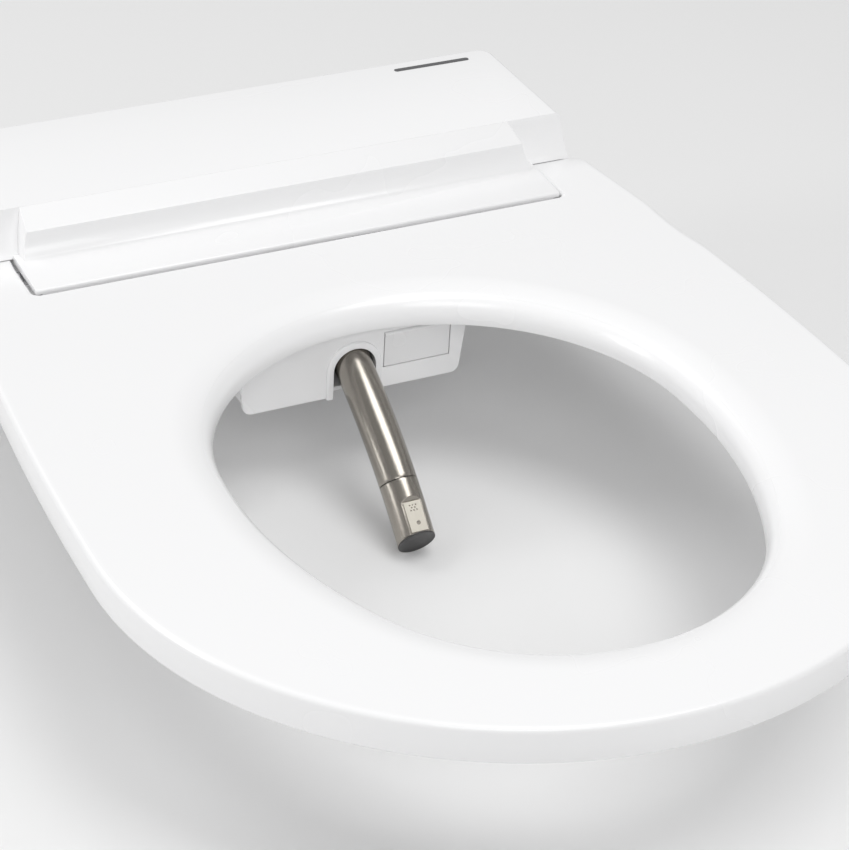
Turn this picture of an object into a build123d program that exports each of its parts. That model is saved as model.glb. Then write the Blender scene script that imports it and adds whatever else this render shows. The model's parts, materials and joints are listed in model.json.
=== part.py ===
from build123d import *
import math
import os

# Electric bidet seat. Millimetres, +X to the right seen from the front, +Y to the wall, +Z up.
# Origin: midway between the two bowl fixing bolts, on the plane of the bowl rim.

# Seat ring
SEAT_HALF_WIDTH = 185.0
SEAT_FRONT_Y = -445.0
SEAT_REAR_Y = -28.6
SEAT_TOP_Z = 24.0
SEAT_THICK = 16.7
SEAT_FRONT_R = 190.0
SEAT_CORNER_R = 166.0
SEAT_SIDE_R = 1580.0
SEAT_WALL = 2.6
SEAT_SKIN = 3.0
SEAT_BOTTOM_Z = SEAT_TOP_Z - SEAT_THICK
RIM_WALL = 5.0
RIM_ROUND = 7.0

# Opening in the ring
OPEN_HALF_WIDTH = 110.5
OPEN_FRONT_Y = -393.6
OPEN_REAR_Y = -123.8
OPEN_FRONT_R = 99.2
OPEN_SIDE_R = 207.4
OPEN_REAR_R = 110.0

# Notch in the back of the ring, and the cover that fills it
NOTCH_HALF_WIDTH = 138.0
NOTCH_FRONT_Y = -63.4
NOTCH_CORNER_R = 3.5
COVER_HALF_WIDTH = 136.6
COVER_FRONT_Y = -61.8
BLOCK_HALF_WIDTH = 133.5
COVER_WALL = 2.2
BLOCK_DRAFT = 5.0

# Seat hinge
PIVOT_Y = -37.6
PIVOT_Z = 18.0
PIN_R = 3.5
PIN_IN_X = 113.0
PIN_OUT_X = 160.0

# Rear housing
HOUSE_HALF_WIDTH = 159.0
HOUSE_FRONT_Y = -16.8
HOUSE_REAR_Y = 66.0
HOUSE_TOP_Z = 44.4
SPLIT_Z = 22.0
WALL = 2.4
LIP_Y = -29.2
LIP_Z = 24.4
PAN_FRONT_Y = -24.5
PAN_NOSE_HALF = 131.0
PAN_NOSE_Y = -59.8

# Bowl fixing
BOLT_SPACING = 155.0
BOLT_R = 4.0
BOLT_DOWN = 58.0
PLATE_HALF_X = 98.0
PLATE_HALF_Y = 16.0
CHANNEL_HALF_X = 100.0
CHANNEL_TOP_Z = 6.2

# Nozzle: a tube bent to one arc, which slides along that arc
ARC_R = 300.0
ARC_Y = 14.9
ARC_Z = -283.2
TUBE_R = 9.15
TUBE_BORE_R = 8.0
TAIL_DEG = 24.0
SEAM_DEG = 38.2
END_DEG = 43.75
END_FACE_DEG = 28.0
CAP_THICK = 0.6
TIP_CORE_DEG = (39.4, 42.0)
TIP_BORE_R = 6.8
TIP_FLAT_DEG = 40.35
TIP_FLAT_DEEP = 1.55
PLATE_WIDE = 8.4
PLATE_LONG = 14.4
PLATE_THICK = 0.43

# Curved rack on the nozzle and the pinion that drives it
GEAR_MODULE = 1.0
PINION_TEETH = 10
RACK_PITCH_R = 304.0
RACK_X = (11.5, 15.5)
PINION_DEG = 7.5
RACK_DEG = (6.8, TAIL_DEG)

# Nozzle fascia
FASCIA_Y = -118.0
FASCIA_THICK = 2.6
FASCIA_TOP_Z = 5.0
FASCIA_LOW_Z = -29.2
FASCIA_HALF = 58.5
PORT_Z = -14.6
PORT_HALF = 10.9
PORT_RING = 3.2
FLAP_X = (15.8, 49.8)
FLAP_Z = (-17.6, 1.0)
FLAP_THICK = 1.6
FLAP_PIVOT_Y = FASCIA_Y + 1.1
FLAP_PIVOT_Z = FLAP_Z[1] - 1.4

# Blower
BLOWER_XY = (84.0, 24.0)
BLOWER_R = 27.0
BLOWER_Z = (10.0, 33.0)

# Valve
VALVE_XY = (-136.0, 24.0)

BUTTON_YZ = (15.0, 12.0)
GLAND_YZ = (44.0, 13.0)
INLET_YZ = (40.0, 13.0)
INLET_R = 10.4


def block(x, y, z):
    """Box between the given pairs of limits."""
    size = (x[1] - x[0], y[1] - y[0], z[1] - z[0])
    return Pos((x[0] + x[1]) / 2, (y[0] + y[1]) / 2, (z[0] + z[1]) / 2) * Box(*size)


def rod(axis, start, end, centre, radius):
    """Cylinder along axis x, y or z from start to end; centre holds the other two coordinates."""
    cylinder = Cylinder(radius, end - start)
    middle = (start + end) / 2
    if axis == "x":
        return Pos(middle, centre[0], centre[1]) * Rot(0, 90, 0) * cylinder
    if axis == "y":
        return Pos(centre[0], middle, centre[1]) * Rot(90, 0, 0) * cylinder
    return Pos(centre[0], centre[1], middle) * cylinder


def tube(axis, start, end, centre, radius, bore):
    """Rod with a bore right through it."""
    return rod(axis, start, end, centre, radius) - rod(axis, start - 1, end + 1, centre, bore)


def side_profile(points, half_width):
    """Closed outline given as (y, z) points, extruded to both sides of the middle plane."""
    outline = Plane.YZ * make_face(Polyline(*points, close=True))
    return extrude(outline, amount=half_width, both=True)


def both_sides(solid):
    """A piece and its mirror image across the middle plane."""
    return Part() + [solid, mirror(solid, about=Plane.YZ)]


# Seat ring

def mirrored_face(edges):
    """Face inside a chain of edges on the right and the same chain mirrored to the left."""
    left = [mirror(edge, about=Plane.YZ) for edge in edges]
    return make_face(edges + left)


def seat_outline():
    """D-shaped plan of the seat before the rear notch is taken out."""
    front = Vector(0, SEAT_FRONT_Y + SEAT_FRONT_R)
    side_x = SEAT_HALF_WIDTH - SEAT_CORNER_R
    drop = math.sqrt((SEAT_FRONT_R - SEAT_CORNER_R) ** 2 - side_x ** 2)
    side = Vector(side_x, front.Y - drop)
    join = math.degrees(math.atan2(side.Y - front.Y, side.X))
    rear = Vector(SEAT_HALF_WIDTH - SEAT_SIDE_R, side.Y)
    turn = math.degrees(math.asin((SEAT_REAR_Y - side.Y) / SEAT_SIDE_R))
    last_x = rear.X + SEAT_SIDE_R * math.cos(math.radians(turn))
    edges = [
        CenterArc(front, SEAT_FRONT_R, -90, join + 90),
        CenterArc(side, SEAT_CORNER_R, join, -join),
        CenterArc(rear, SEAT_SIDE_R, 0, turn),
        Line((last_x, SEAT_REAR_Y), (0, SEAT_REAR_Y)),
    ]
    face = mirrored_face(edges)
    corners = face.vertices().sort_by(Axis.Y)[-3:]
    outer = [v for v in corners if abs(v.X) > 10]
    return fillet(outer, 9.0)


def opening_outline():
    """Egg-shaped plan of the opening, four tangent arcs on each side."""
    front = Vector(0, OPEN_FRONT_Y + OPEN_FRONT_R)
    side_x = OPEN_HALF_WIDTH - OPEN_SIDE_R
    rise = math.sqrt((OPEN_SIDE_R - OPEN_FRONT_R) ** 2 - side_x ** 2)
    wide_y = front.Y + rise
    join = math.degrees(math.atan2(-rise, -side_x))
    rear = Vector(0, OPEN_REAR_Y - OPEN_REAR_R)
    gap = rear.Y - wide_y
    back_r = (gap ** 2 / (OPEN_HALF_WIDTH - OPEN_REAR_R) + OPEN_REAR_R + OPEN_HALF_WIDTH) / 2
    back_x = OPEN_HALF_WIDTH - back_r
    meet = math.degrees(math.atan2(gap, -back_x))
    edges = [
        CenterArc(front, OPEN_FRONT_R, -90, join + 90),
        CenterArc((side_x, wide_y), OPEN_SIDE_R, join, -join),
        CenterArc((back_x, wide_y), back_r, 0, meet),
        CenterArc(rear, OPEN_REAR_R, meet, 90 - meet),
    ]
    return mirrored_face(edges)


def notch_outline(grow=0.0):
    """Rear notch, larger all round by grow."""
    half = NOTCH_HALF_WIDTH + grow
    front = NOTCH_FRONT_Y - grow
    depth = 60.0
    shape = Pos(0, front + depth / 2) * Rectangle(2 * half, depth)
    return fillet(shape.vertices().sort_by(Axis.Y)[:2], NOTCH_CORNER_R + grow)


def seat_plan(inset=0.0, rim=0.0):
    """Plan of the ring, pulled in by inset at the outside and by rim at the opening."""
    plan = seat_outline()
    hole = opening_outline()
    if inset:
        plan = offset(plan, amount=-inset)
    if rim:
        hole = offset(hole, amount=rim)
    return plan - hole - notch_outline(inset)


def rear_rounding(radius, z_low):
    """Waste along the lower back edge of the ring, which leaves it rounded."""
    centre_y = SEAT_REAR_Y - radius
    waste = block((-180, 180), (centre_y, SEAT_REAR_Y + 1), (z_low - 1, z_low + radius))
    return waste - rod("x", -181, 181, (centre_y, z_low + radius), radius)


def nozzle_tunnel(grow=0.0):
    """Room under the back of the ring for the nozzle when it is drawn in."""
    return block((-18 - grow, 18 + grow), (-98 - grow, NOTCH_FRONT_Y + 4), (0, 18.2 + grow))


def seat_top_shell():
    ring = extrude(Pos(0, 0, SEAT_BOTTOM_Z) * seat_plan(), amount=SEAT_THICK)
    top_edges = ring.edges().filter_by_position(Axis.Z, SEAT_TOP_Z - 0.01, SEAT_TOP_Z + 0.01)
    rim = [e for e in top_edges if e.bounding_box().max.X <= OPEN_HALF_WIDTH + 0.5
           and e.bounding_box().min.X >= -OPEN_HALF_WIDTH - 0.5 and e.center().Y < OPEN_REAR_Y + 1]
    ring = fillet(rim, RIM_ROUND)
    top_edges = ring.edges().filter_by_position(Axis.Z, SEAT_TOP_Z - 0.01, SEAT_TOP_Z + 0.01)
    outside = [e for e in top_edges if e.bounding_box().max.Y < -340 and e.length > 200]
    if outside:
        ring = fillet(outside, 1.3)
    cavity = extrude(Pos(0, 0, SEAT_BOTTOM_Z - 1) * seat_plan(SEAT_WALL, RIM_WALL),
                     amount=SEAT_THICK - SEAT_SKIN + 1)
    ring = ring - cavity - rear_rounding(5.0, SEAT_BOTTOM_Z)
    ring = ring - nozzle_tunnel(1.6) - both_sides(pin_hole(PIN_R + 0.2))
    return ring - finger_scallop()


def finger_scallop():
    """Shallow finger grip along the right edge of the ring."""
    return Pos(186.2, -107.0, SEAT_TOP_Z + 3.6) * Rot(0, 0, 4.6) * scale(Sphere(1.0), by=(14, 48, 9))


def pin_hole(radius):
    return rod("x", PIN_IN_X, PIN_OUT_X + 0.4, (PIVOT_Y, PIVOT_Z), radius)


def seat_bottom_shell():
    gap = 0.1
    plate = extrude(Pos(0, 0, SEAT_BOTTOM_Z) * seat_plan(SEAT_WALL + gap, RIM_WALL + gap), amount=2.4)
    boss = block((141.0, 160.6), (PIVOT_Y - 7, PIVOT_Y + 4.6), (SEAT_BOTTOM_Z, SEAT_TOP_Z - 3.4))
    ribs = [block((-150, -120), (y, y + 2), (SEAT_BOTTOM_Z + 1, SEAT_BOTTOM_Z + 8)) for y in (-300, -200)]
    ribs += [block((120, 150), (y, y + 2), (SEAT_BOTTOM_Z + 1, SEAT_BOTTOM_Z + 8)) for y in (-300, -200)]
    plate = plate + both_sides(boss) + ribs
    room = nozzle_tunnel(1.5) - block((-40, 40), (NOTCH_FRONT_Y - 3.0, 0), (0, 40))
    plate = plate + (room & block((-40, 40), (-110, 0), (SEAT_BOTTOM_Z, 30)))
    plate = plate - nozzle_tunnel() - rear_rounding(5.0, SEAT_BOTTOM_Z)
    plate = plate - both_sides(pin_hole(PIN_R))
    for x, y in bumper_places():
        plate = plate - rod("z", SEAT_BOTTOM_Z - 1, SEAT_BOTTOM_Z + 5, (x, y), 3.0)
    return plate


def bumper_places():
    """Centres of the rubber feet under the ring."""
    return [(-140, -160), (140, -160), (-112, -372), (112, -372)]


def seat_bumpers():
    feet = Part()
    for x, y in bumper_places():
        foot = rod("z", 0, SEAT_BOTTOM_Z, (x, y), 9.0)
        foot = chamfer(foot.edges().group_by(Axis.Z)[0], 1.0)
        feet += foot + rod("z", SEAT_BOTTOM_Z - 1, SEAT_BOTTOM_Z + 4, (x, y), 2.9)
    return feet


def seat_heater():
    return extrude(Pos(0, 0, SEAT_TOP_Z - SEAT_SKIN - 0.7) * heater_plan(), amount=0.6)


def heater_plan():
    plan = offset(seat_outline(), amount=-14.0) - offset(opening_outline(), amount=12.0)
    return plan - Rectangle(400, 160)


def occupancy_sensor():
    plate = block((-158, -130), (-236, -208), (SEAT_BOTTOM_Z + 9.0, SEAT_TOP_Z - SEAT_SKIN - 0.8))
    return fillet(plate.edges().filter_by(Axis.Z), 4.0)


def seat_hinge_pins():
    return both_sides(rod("x", PIN_IN_X + 0.5, PIN_OUT_X, (PIVOT_Y, PIVOT_Z), PIN_R))


# Hinge cover and soft-close dampers

def hinge_cover():
    """Flush tongue, concave step and sloping block, open underneath and behind."""
    step = ThreePointArc((-37.0, 26.4), (-33.2, 31.0), (-31.3, 38.5))
    outline = [
        Line((HOUSE_FRONT_Y, SPLIT_Z), (COVER_FRONT_Y, SPLIT_Z)),
        Line((COVER_FRONT_Y, SPLIT_Z), (COVER_FRONT_Y, 24.9)),
        Line((COVER_FRONT_Y, 24.9), (-37.0, 26.4)),
        step,
        Line((-31.3, 38.5), (HOUSE_FRONT_Y, HOUSE_TOP_Z)),
        Line((HOUSE_FRONT_Y, HOUSE_TOP_Z), (HOUSE_FRONT_Y, SPLIT_Z)),
    ]
    shell = extrude(Plane.YZ * make_face(outline), amount=BLOCK_HALF_WIDTH, both=True)
    shell = shell - block_ends()
    inside = [(-59.6, 20.0), (-59.6, 22.7), (-37.6, 24.1), (-34.6, 27.5), (-31.8, 33.0),
              (-30.0, 36.8), (-16.0, 42.4), (-16.0, 20.0)]
    shell = shell - side_profile(inside, BLOCK_HALF_WIDTH - BLOCK_DRAFT - COVER_WALL)
    low_half = BLOCK_HALF_WIDTH - COVER_WALL
    shell = shell - (side_profile(inside, low_half) & block((-low_half, low_half), (-80, 10), (0, 25.6)))
    flange = [(COVER_FRONT_Y, 22.4), (COVER_FRONT_Y, 24.9), (-37.0, 26.4), (-29.0, 26.4), (-29.0, 22.4)]
    wings = side_profile(flange, COVER_HALF_WIDTH) - side_profile(flange, BLOCK_HALF_WIDTH - 1)
    shell = shell + wings
    front = shell.edges().filter_by(Axis.X).filter_by_position(Axis.Z, 24.8, 25.0)
    front = [e for e in front if e.center().Y < COVER_FRONT_Y + 0.1]
    shell = fillet(front, 1.2)
    return shell - both_sides(pin_hole(PIN_R + 0.6))


def block_ends():
    """Waste beyond the block's ends, which lean in towards the top."""
    low, high = 26.4, HOUSE_TOP_Z + 1.0
    outline = Polyline((BLOCK_HALF_WIDTH, low), (BLOCK_HALF_WIDTH - BLOCK_DRAFT, high),
                       (BLOCK_HALF_WIDTH + 1, high), (BLOCK_HALF_WIDTH + 1, low), close=True)
    return both_sides(extrude(Plane.XZ.offset(16.0) * make_face(outline), amount=50))


def hinge_dampers():
    """Rotary dampers round the seat pins."""
    body = rod("x", 98, 127.4, (PIVOT_Y, PIVOT_Z), 5.0)
    body = body - rod("x", 112.4, 128, (PIVOT_Y, PIVOT_Z), PIN_R + 0.12)
    lug = block((99, 108), (PIVOT_Y - 3, PIVOT_Y + 3), (WALL, PIVOT_Z - 3))
    return both_sides(body + lug)


# Rear housing

def pan_plan(inset=0.0):
    main = block((-HOUSE_HALF_WIDTH + inset, HOUSE_HALF_WIDTH - inset),
                 (PAN_FRONT_Y + inset, HOUSE_REAR_Y - inset), (inset, SPLIT_Z + inset))
    nose = block((-PAN_NOSE_HALF + inset, PAN_NOSE_HALF - inset),
                 (PAN_NOSE_Y + inset, PAN_FRONT_Y + 9), (inset, SPLIT_Z + inset))
    return main + nose


def base_pan():
    outer = pan_plan()
    corners = outer.edges().filter_by(Axis.Z).filter_by_position(Axis.Y, HOUSE_REAR_Y - 1, HOUSE_REAR_Y + 1)
    outer = fillet(corners, 8.0)
    shell = outer - pan_plan(WALL)
    channel = block((-CHANNEL_HALF_X, CHANNEL_HALF_X),
                    (-PLATE_HALF_Y - 1.5, HOUSE_REAR_Y + 1), (-1, CHANNEL_TOP_Z))
    roof = block((-CHANNEL_HALF_X - WALL, CHANNEL_HALF_X + WALL), (-PLATE_HALF_Y - 4, HOUSE_REAR_Y),
                 (0, CHANNEL_TOP_Z + WALL))
    shell = shell + roof - channel
    for x in (-1, 1):
        shell = shell + block((min(x * 127.6, x * 131), max(x * 127.6, x * 131)),
                              (PIVOT_Y - 5.5, PIVOT_Y + 5.5), (1, PIVOT_Z + 4.8))
    shell = shell - both_sides(pin_hole(PIN_R + 0.1))
    shell = shell - block((-19, 19), (PAN_NOSE_Y - 1, -36), (-1, 23))
    shell = shell - block((19, 50), (PAN_NOSE_Y - 1, -45), (-1, 21))
    shell = shell - inlet_hole() - gland_hole() - button_window()
    return shell


def inlet_hole():
    return rod("x", -HOUSE_HALF_WIDTH - 1, -HOUSE_HALF_WIDTH + 5, INLET_YZ, 8.0)


def gland_hole():
    return rod("x", HOUSE_HALF_WIDTH - 5, HOUSE_HALF_WIDTH + 1, GLAND_YZ, 5.0)


def button_window():
    y, z = BUTTON_YZ
    return block((HOUSE_HALF_WIDTH - 5, HOUSE_HALF_WIDTH + 1), (y - 10.4, y + 10.4), (z - 5.4, z + 5.4))


def cover_profile(inset=0.0):
    """Side outline of the top cover, with its concave front."""
    low_front = (LIP_Y + inset, LIP_Z)
    top_front = (HOUSE_FRONT_Y + inset, HOUSE_TOP_Z - inset)
    front = ThreePointArc(low_front, (-22.1 + inset, 33.0), top_front)
    rear = HOUSE_REAR_Y - inset
    top = HOUSE_TOP_Z - inset
    low = SPLIT_Z - inset
    return make_face([
        Line((PAN_FRONT_Y + inset, low), low_front),
        front,
        Line((HOUSE_FRONT_Y + inset, top), (rear, top)),
        Line((rear, top), (rear, low)),
        Line((rear, low), (PAN_FRONT_Y + inset, low)),
    ])


def top_cover():
    shell = extrude(Plane.YZ * cover_profile(), amount=HOUSE_HALF_WIDTH, both=True)
    rear = shell.edges().filter_by(Axis.Z).filter_by_position(Axis.Y, HOUSE_REAR_Y - 1, HOUSE_REAR_Y + 1)
    shell = fillet(rear, 8.0)
    back_top = [e for e in shell.edges().filter_by_position(Axis.Z, HOUSE_TOP_Z - 0.1, HOUSE_TOP_Z + 0.1)
                if e.center().Y > HOUSE_REAR_Y - 5]
    shell = fillet(back_top, 3.0)
    inside = extrude(Plane.YZ * cover_profile(WALL), amount=HOUSE_HALF_WIDTH - WALL, both=True)
    shell = shell - inside
    room = block((-BLOCK_HALF_WIDTH, BLOCK_HALF_WIDTH), (-40, HOUSE_FRONT_Y), (0, 50))
    return shell - (room - block_ends())


def badge_inlay():
    """Plain inlay on the top, near the back right corner."""
    bar = block((100.0, 143.0), (54.5, 57.5), (HOUSE_TOP_Z, HOUSE_TOP_Z + 0.2))
    return fillet(bar.edges().filter_by(Axis.Z), 1.4)


def screw_places():
    return [(-150, -12), (-150, 56), (150, -12), (150, 56)]


def cover_screws():
    """Screws that hold the base pan to the top cover."""
    group = Part()
    for x, y in screw_places():
        low = WALL if abs(x) > CHANNEL_HALF_X else CHANNEL_TOP_Z + WALL
        group += rod("z", low, low + 2.2, (x, y), 3.0) + rod("z", low + 2, 34, (x, y), 1.5)
    return group


# Bowl fixing

def mounting_plate():
    plate = block((-PLATE_HALF_X, PLATE_HALF_X), (-PLATE_HALF_Y, PLATE_HALF_Y), (1.0, 3.2))
    plate = fillet(plate.edges().filter_by(Axis.Z), 5.0)
    for x in (-1, 1):
        slot = block((x * BOLT_SPACING / 2 - BOLT_R, x * BOLT_SPACING / 2 + BOLT_R), (-6, 6), (0, 4))
        ends = [rod("z", 0, 4, (x * BOLT_SPACING / 2, y), BOLT_R) for y in (-6, 6)]
        plate = plate - slot - ends[0] - ends[1]
    return plate


def anti_slip_pad():
    pad = block((-PLATE_HALF_X, PLATE_HALF_X), (-PLATE_HALF_Y, PLATE_HALF_Y), (0, 1.0))
    pad = fillet(pad.edges().filter_by(Axis.Z), 5.0)
    for x in (-1, 1):
        pad = pad - block((x * BOLT_SPACING / 2 - 5, x * BOLT_SPACING / 2 + 5), (-11, 11), (-1, 2))
    return pad


def fixing_bolts():
    bolt = rod("z", -BOLT_DOWN, 0.0, (BOLT_SPACING / 2, 0), BOLT_R - 0.1)
    bolt = bolt + rod("z", -0.5, 4.5, (BOLT_SPACING / 2, 0), BOLT_R - 0.4)
    head = rod("z", 4.0, 5.8, (BOLT_SPACING / 2, 0), 7.5)
    slot = block((BOLT_SPACING / 2 - 6, BOLT_SPACING / 2 + 6), (-0.8, 0.8), (5.0, 6))
    return both_sides(bolt + head - slot)


def fixing_washers():
    return both_sides(tube("z", 3.2, 4.0, (BOLT_SPACING / 2, 0), 10.0, BOLT_R))


def release_button():
    y, z = BUTTON_YZ
    cap = block((HOUSE_HALF_WIDTH - 1.5, HOUSE_HALF_WIDTH + 3.9), (y - 10, y + 10), (z - 5, z + 5))
    cap = fillet(cap.edges().filter_by(Axis.X), 2.0)
    cap = fillet(cap.faces().sort_by(Axis.X)[-1].edges(), 0.8)
    stem = rod("x", HOUSE_HALF_WIDTH - 12, HOUSE_HALF_WIDTH - 1, (y, z), 1.8)
    flange = block((HOUSE_HALF_WIDTH - 4.4, HOUSE_HALF_WIDTH - WALL - 0.1), (y - 9, y + 9), (z - 4, z + 4))
    neck = block((HOUSE_HALF_WIDTH - 3, HOUSE_HALF_WIDTH - 1), (y - 9, y + 9), (z - 4, z + 4))
    return cap + stem + flange + neck


def button_guide():
    """Bracket on the pan floor that takes the stem and the spring of the button."""
    y, z = BUTTON_YZ
    x = HOUSE_HALF_WIDTH - 14.5
    post = block((x, x + 3), (y - 8, y + 8), (WALL, z + 6))
    foot = block((x - 6, x + 3), (y - 8, y + 8), (WALL, WALL + 2))
    return post + foot - rod("x", x - 1, x + 4, (y, z), 2.1)


def release_spring():
    y, z = BUTTON_YZ
    start = HOUSE_HALF_WIDTH - 10.9
    return coil(Plane((start, y, z), z_dir=(1, 0, 0)), 3.0, 0.4, 6.0, 5)


def coil(plane, radius, wire, length, turns):
    """Round-wire compression spring that starts on the given plane."""
    path = plane * Helix(pitch=length / turns, height=length, radius=radius)
    start = path @ 0
    section = Plane(start, z_dir=path % 0) * Circle(wire)
    return sweep(section, path=path, is_frenet=True)


# Nozzle

def on_arc(degrees, radius=ARC_R):
    """Point in the middle plane on the nozzle arc; larger angles are further out and lower."""
    angle = math.radians(degrees)
    return Vector(0, ARC_Y - radius * math.sin(angle), ARC_Z + radius * math.cos(angle))


def bent(section, start, end):
    """Sweep a flat section (x across, y outward) along the nozzle arc between two angles."""
    angle = math.radians(start)
    plane = Plane(on_arc(start), x_dir=(1, 0, 0), z_dir=(0, -math.cos(angle), -math.sin(angle)))
    axis = Axis((0, ARC_Y, ARC_Z), (1, 0, 0))
    return revolve(plane * section, axis=axis, revolution_arc=end - start)


def bent_ring(outer, inner, start, end):
    return bent(Circle(outer) - Circle(inner), start, end)


def nozzle_tube():
    return bent_ring(TUBE_R, TUBE_BORE_R, TAIL_DEG, SEAM_DEG)


def end_plane(back=0.0):
    """Plane of the nozzle's slanted end face, or a parallel plane that far behind it."""
    angle = math.radians(END_FACE_DEG)
    normal = Vector(0, -math.cos(angle), -math.sin(angle))
    return Plane(on_arc(END_DEG) - normal * back, x_dir=(1, 0, 0), z_dir=normal)


def beyond_end(back):
    """Everything past the end plane, or past a plane that far behind it."""
    return end_plane(back) * Pos(0, 0, 15) * Box(60, 60, 30)


def tip_flat():
    """Flat along the outer side of the tip, open at the end and sloping up to the tube at the other."""
    floor = TUBE_R - TIP_FLAT_DEEP
    flat = bent(Pos(0, floor + 5) * Rectangle(20, 10), TIP_FLAT_DEG, END_DEG + 2)
    slope = [on_arc(TIP_FLAT_DEG, ARC_R + floor), on_arc(TIP_FLAT_DEG, ARC_R + floor + 3.4),
             on_arc(TIP_FLAT_DEG - 0.88, ARC_R + floor + 3.4)]
    return flat + side_profile([(p.Y, p.Z) for p in slope], 8.0)


def nozzle_tip():
    """Tip sleeve: hollow at both ends and solid under the spray plate."""
    near = bent_ring(TUBE_R, TUBE_BORE_R, SEAM_DEG + 0.06, TIP_CORE_DEG[0])
    core = bent(Circle(TUBE_R), TIP_CORE_DEG[0], TIP_CORE_DEG[1])
    far = bent_ring(TUBE_R, TIP_BORE_R, TIP_CORE_DEG[1], END_DEG + 2)
    return near + core + far - tip_flat() - beyond_end(CAP_THICK + 0.05)


def spray_plate():
    """Flat plate on the tip's flat, with a cluster of fine holes and one larger hole."""
    plate = Box(PLATE_WIDE, PLATE_LONG, PLATE_THICK)
    places = [(x, y, 0.42) for y in (5.4, 3.0) for x in (-1.5, 0.0, 1.5)]
    places += [(-0.75, 4.2, 0.42), (0.75, 4.2, 0.42), (0.4, -3.2, 1.0)]
    for x, y, radius in places:
        plate = plate - Pos(x, y, 0) * Cylinder(radius, 2)
    middle = 41.74
    angle = math.radians(middle)
    centre = on_arc(middle, ARC_R + TUBE_R - TIP_FLAT_DEEP + PLATE_THICK / 2 + 0.02)
    return Plane(centre, x_dir=(1, 0, 0), z_dir=(0, -math.sin(angle), math.cos(angle))) * plate


def nozzle_end_cap():
    """Thin disc over the slanted end, with a spigot in the tip's bore."""
    disc = bent(Circle(TUBE_R), TIP_CORE_DEG[1], END_DEG + 2)
    disc = disc & (end_plane(CAP_THICK / 2) * Box(60, 60, CAP_THICK))
    spigot = bent(Circle(TIP_BORE_R - 0.1), TIP_CORE_DEG[1], END_DEG + 2)
    return disc + (spigot & (end_plane(CAP_THICK + 1.0) * Box(60, 60, 2.2)))


def nozzle_water_line():
    return bent_ring(2.6, 1.6, TAIL_DEG + 0.3, TIP_CORE_DEG[0] - 0.1)


def rack_pitch_degrees():
    pinion_r = GEAR_MODULE * PINION_TEETH / 2
    return 360.0 / PINION_TEETH * pinion_r / RACK_PITCH_R


def nozzle_carriage():
    """Collar on the tail of the tube, with the curved rack beside it."""
    back = TAIL_DEG - 1.0
    collar = bent_ring(TUBE_R + 0.75, TUBE_R, back, TAIL_DEG + 0.6)
    plug = bent_ring(TUBE_R, 3.2, back, TAIL_DEG - 0.02)
    arm = bent(Pos(9.6, 0) * Rectangle(7.0, 4.0), back, TAIL_DEG - 0.02)
    arm = arm - bent(Circle(TUBE_R), back - 1, TAIL_DEG + 1)
    rack = Pos(RACK_X[0], 0, 0) * extrude(Plane.YZ * rack_outline(), amount=RACK_X[1] - RACK_X[0])
    return collar + plug + arm + rack


def rack_outline():
    """Side view of the rack: a ring sector about the nozzle arc's centre, with teeth outside."""
    centre = (ARC_Y, ARC_Z)
    inner_r = ARC_R - 2.5
    root_r = RACK_PITCH_R - 1.25 * GEAR_MODULE
    turn = RACK_DEG[1] - RACK_DEG[0]
    outer = CenterArc(centre, root_r, 90 + RACK_DEG[0], turn)
    inner = CenterArc(centre, inner_r, 90 + RACK_DEG[0], turn)
    sector = make_face([outer, inner, Line(outer @ 0, inner @ 0), Line(outer @ 1, inner @ 1)])
    pitch = rack_pitch_degrees()
    count = int((turn - 1.0) / pitch)
    teeth = [rack_tooth(PINION_DEG + index * pitch) for index in range(count)]
    return sector + teeth


def rack_tooth(degrees):
    """Straight-flanked tooth, drawn in the rack's side view."""
    root = -1.4 * GEAR_MODULE
    tooth = make_face(Polyline((-1.05, root), (1.05, root), (0.24, GEAR_MODULE), (-0.24, GEAR_MODULE),
                               close=True))
    return Pos(ARC_Y, ARC_Z) * Rot(0, 0, degrees) * Pos(0, RACK_PITCH_R) * tooth


def pinion_centre():
    return on_arc(PINION_DEG, RACK_PITCH_R + GEAR_MODULE * PINION_TEETH / 2)


def drive_pinion():
    """Pinion with its shaft; a gap between two teeth faces the rack at rest."""
    centre = pinion_centre()
    pitch_r = GEAR_MODULE * PINION_TEETH / 2
    width = RACK_X[1] - RACK_X[0]
    gear = rod("x", RACK_X[0], RACK_X[1], (centre.Y, centre.Z), pitch_r - 1.3)
    down = math.atan2(ARC_Z - centre.Z, ARC_Y - centre.Y)
    for index in range(PINION_TEETH):
        angle = down + (index + 0.5) * 2 * math.pi / PINION_TEETH
        outward = Vector(0, math.cos(angle), math.sin(angle))
        plane = Plane(Vector(RACK_X[0], centre.Y, centre.Z), x_dir=outward, z_dir=(1, 0, 0))
        outline = Polyline((3.2, -0.85), (5.0, -0.55), (6.0, -0.2), (6.0, 0.2), (5.0, 0.55), (3.2, 0.85),
                           close=True)
        gear += extrude(plane * make_face(outline), amount=width)
    return gear + rod("x", RACK_X[1] - 1, 27.0, (centre.Y, centre.Z), 1.5)


def nozzle_motor():
    centre = pinion_centre()
    yz = (centre.Y, centre.Z)
    body = rod("x", 20.0, 47.0, yz, 8.0) + rod("x", 18.6, 20.5, yz, 3.4)
    return body - rod("x", 18.0, 27.6, yz, 1.6)


def motor_bracket():
    centre = pinion_centre()
    plate = block((20.4, 46.0), (centre.Y - 6, centre.Y + 6), (CHANNEL_TOP_Z + WALL, centre.Z + 1))
    plate = plate - rod("x", 18, 49, (centre.Y, centre.Z), 8.0)
    return plate & block((20.4, 46.0), (-24.0, 10), (0, 40))


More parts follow.
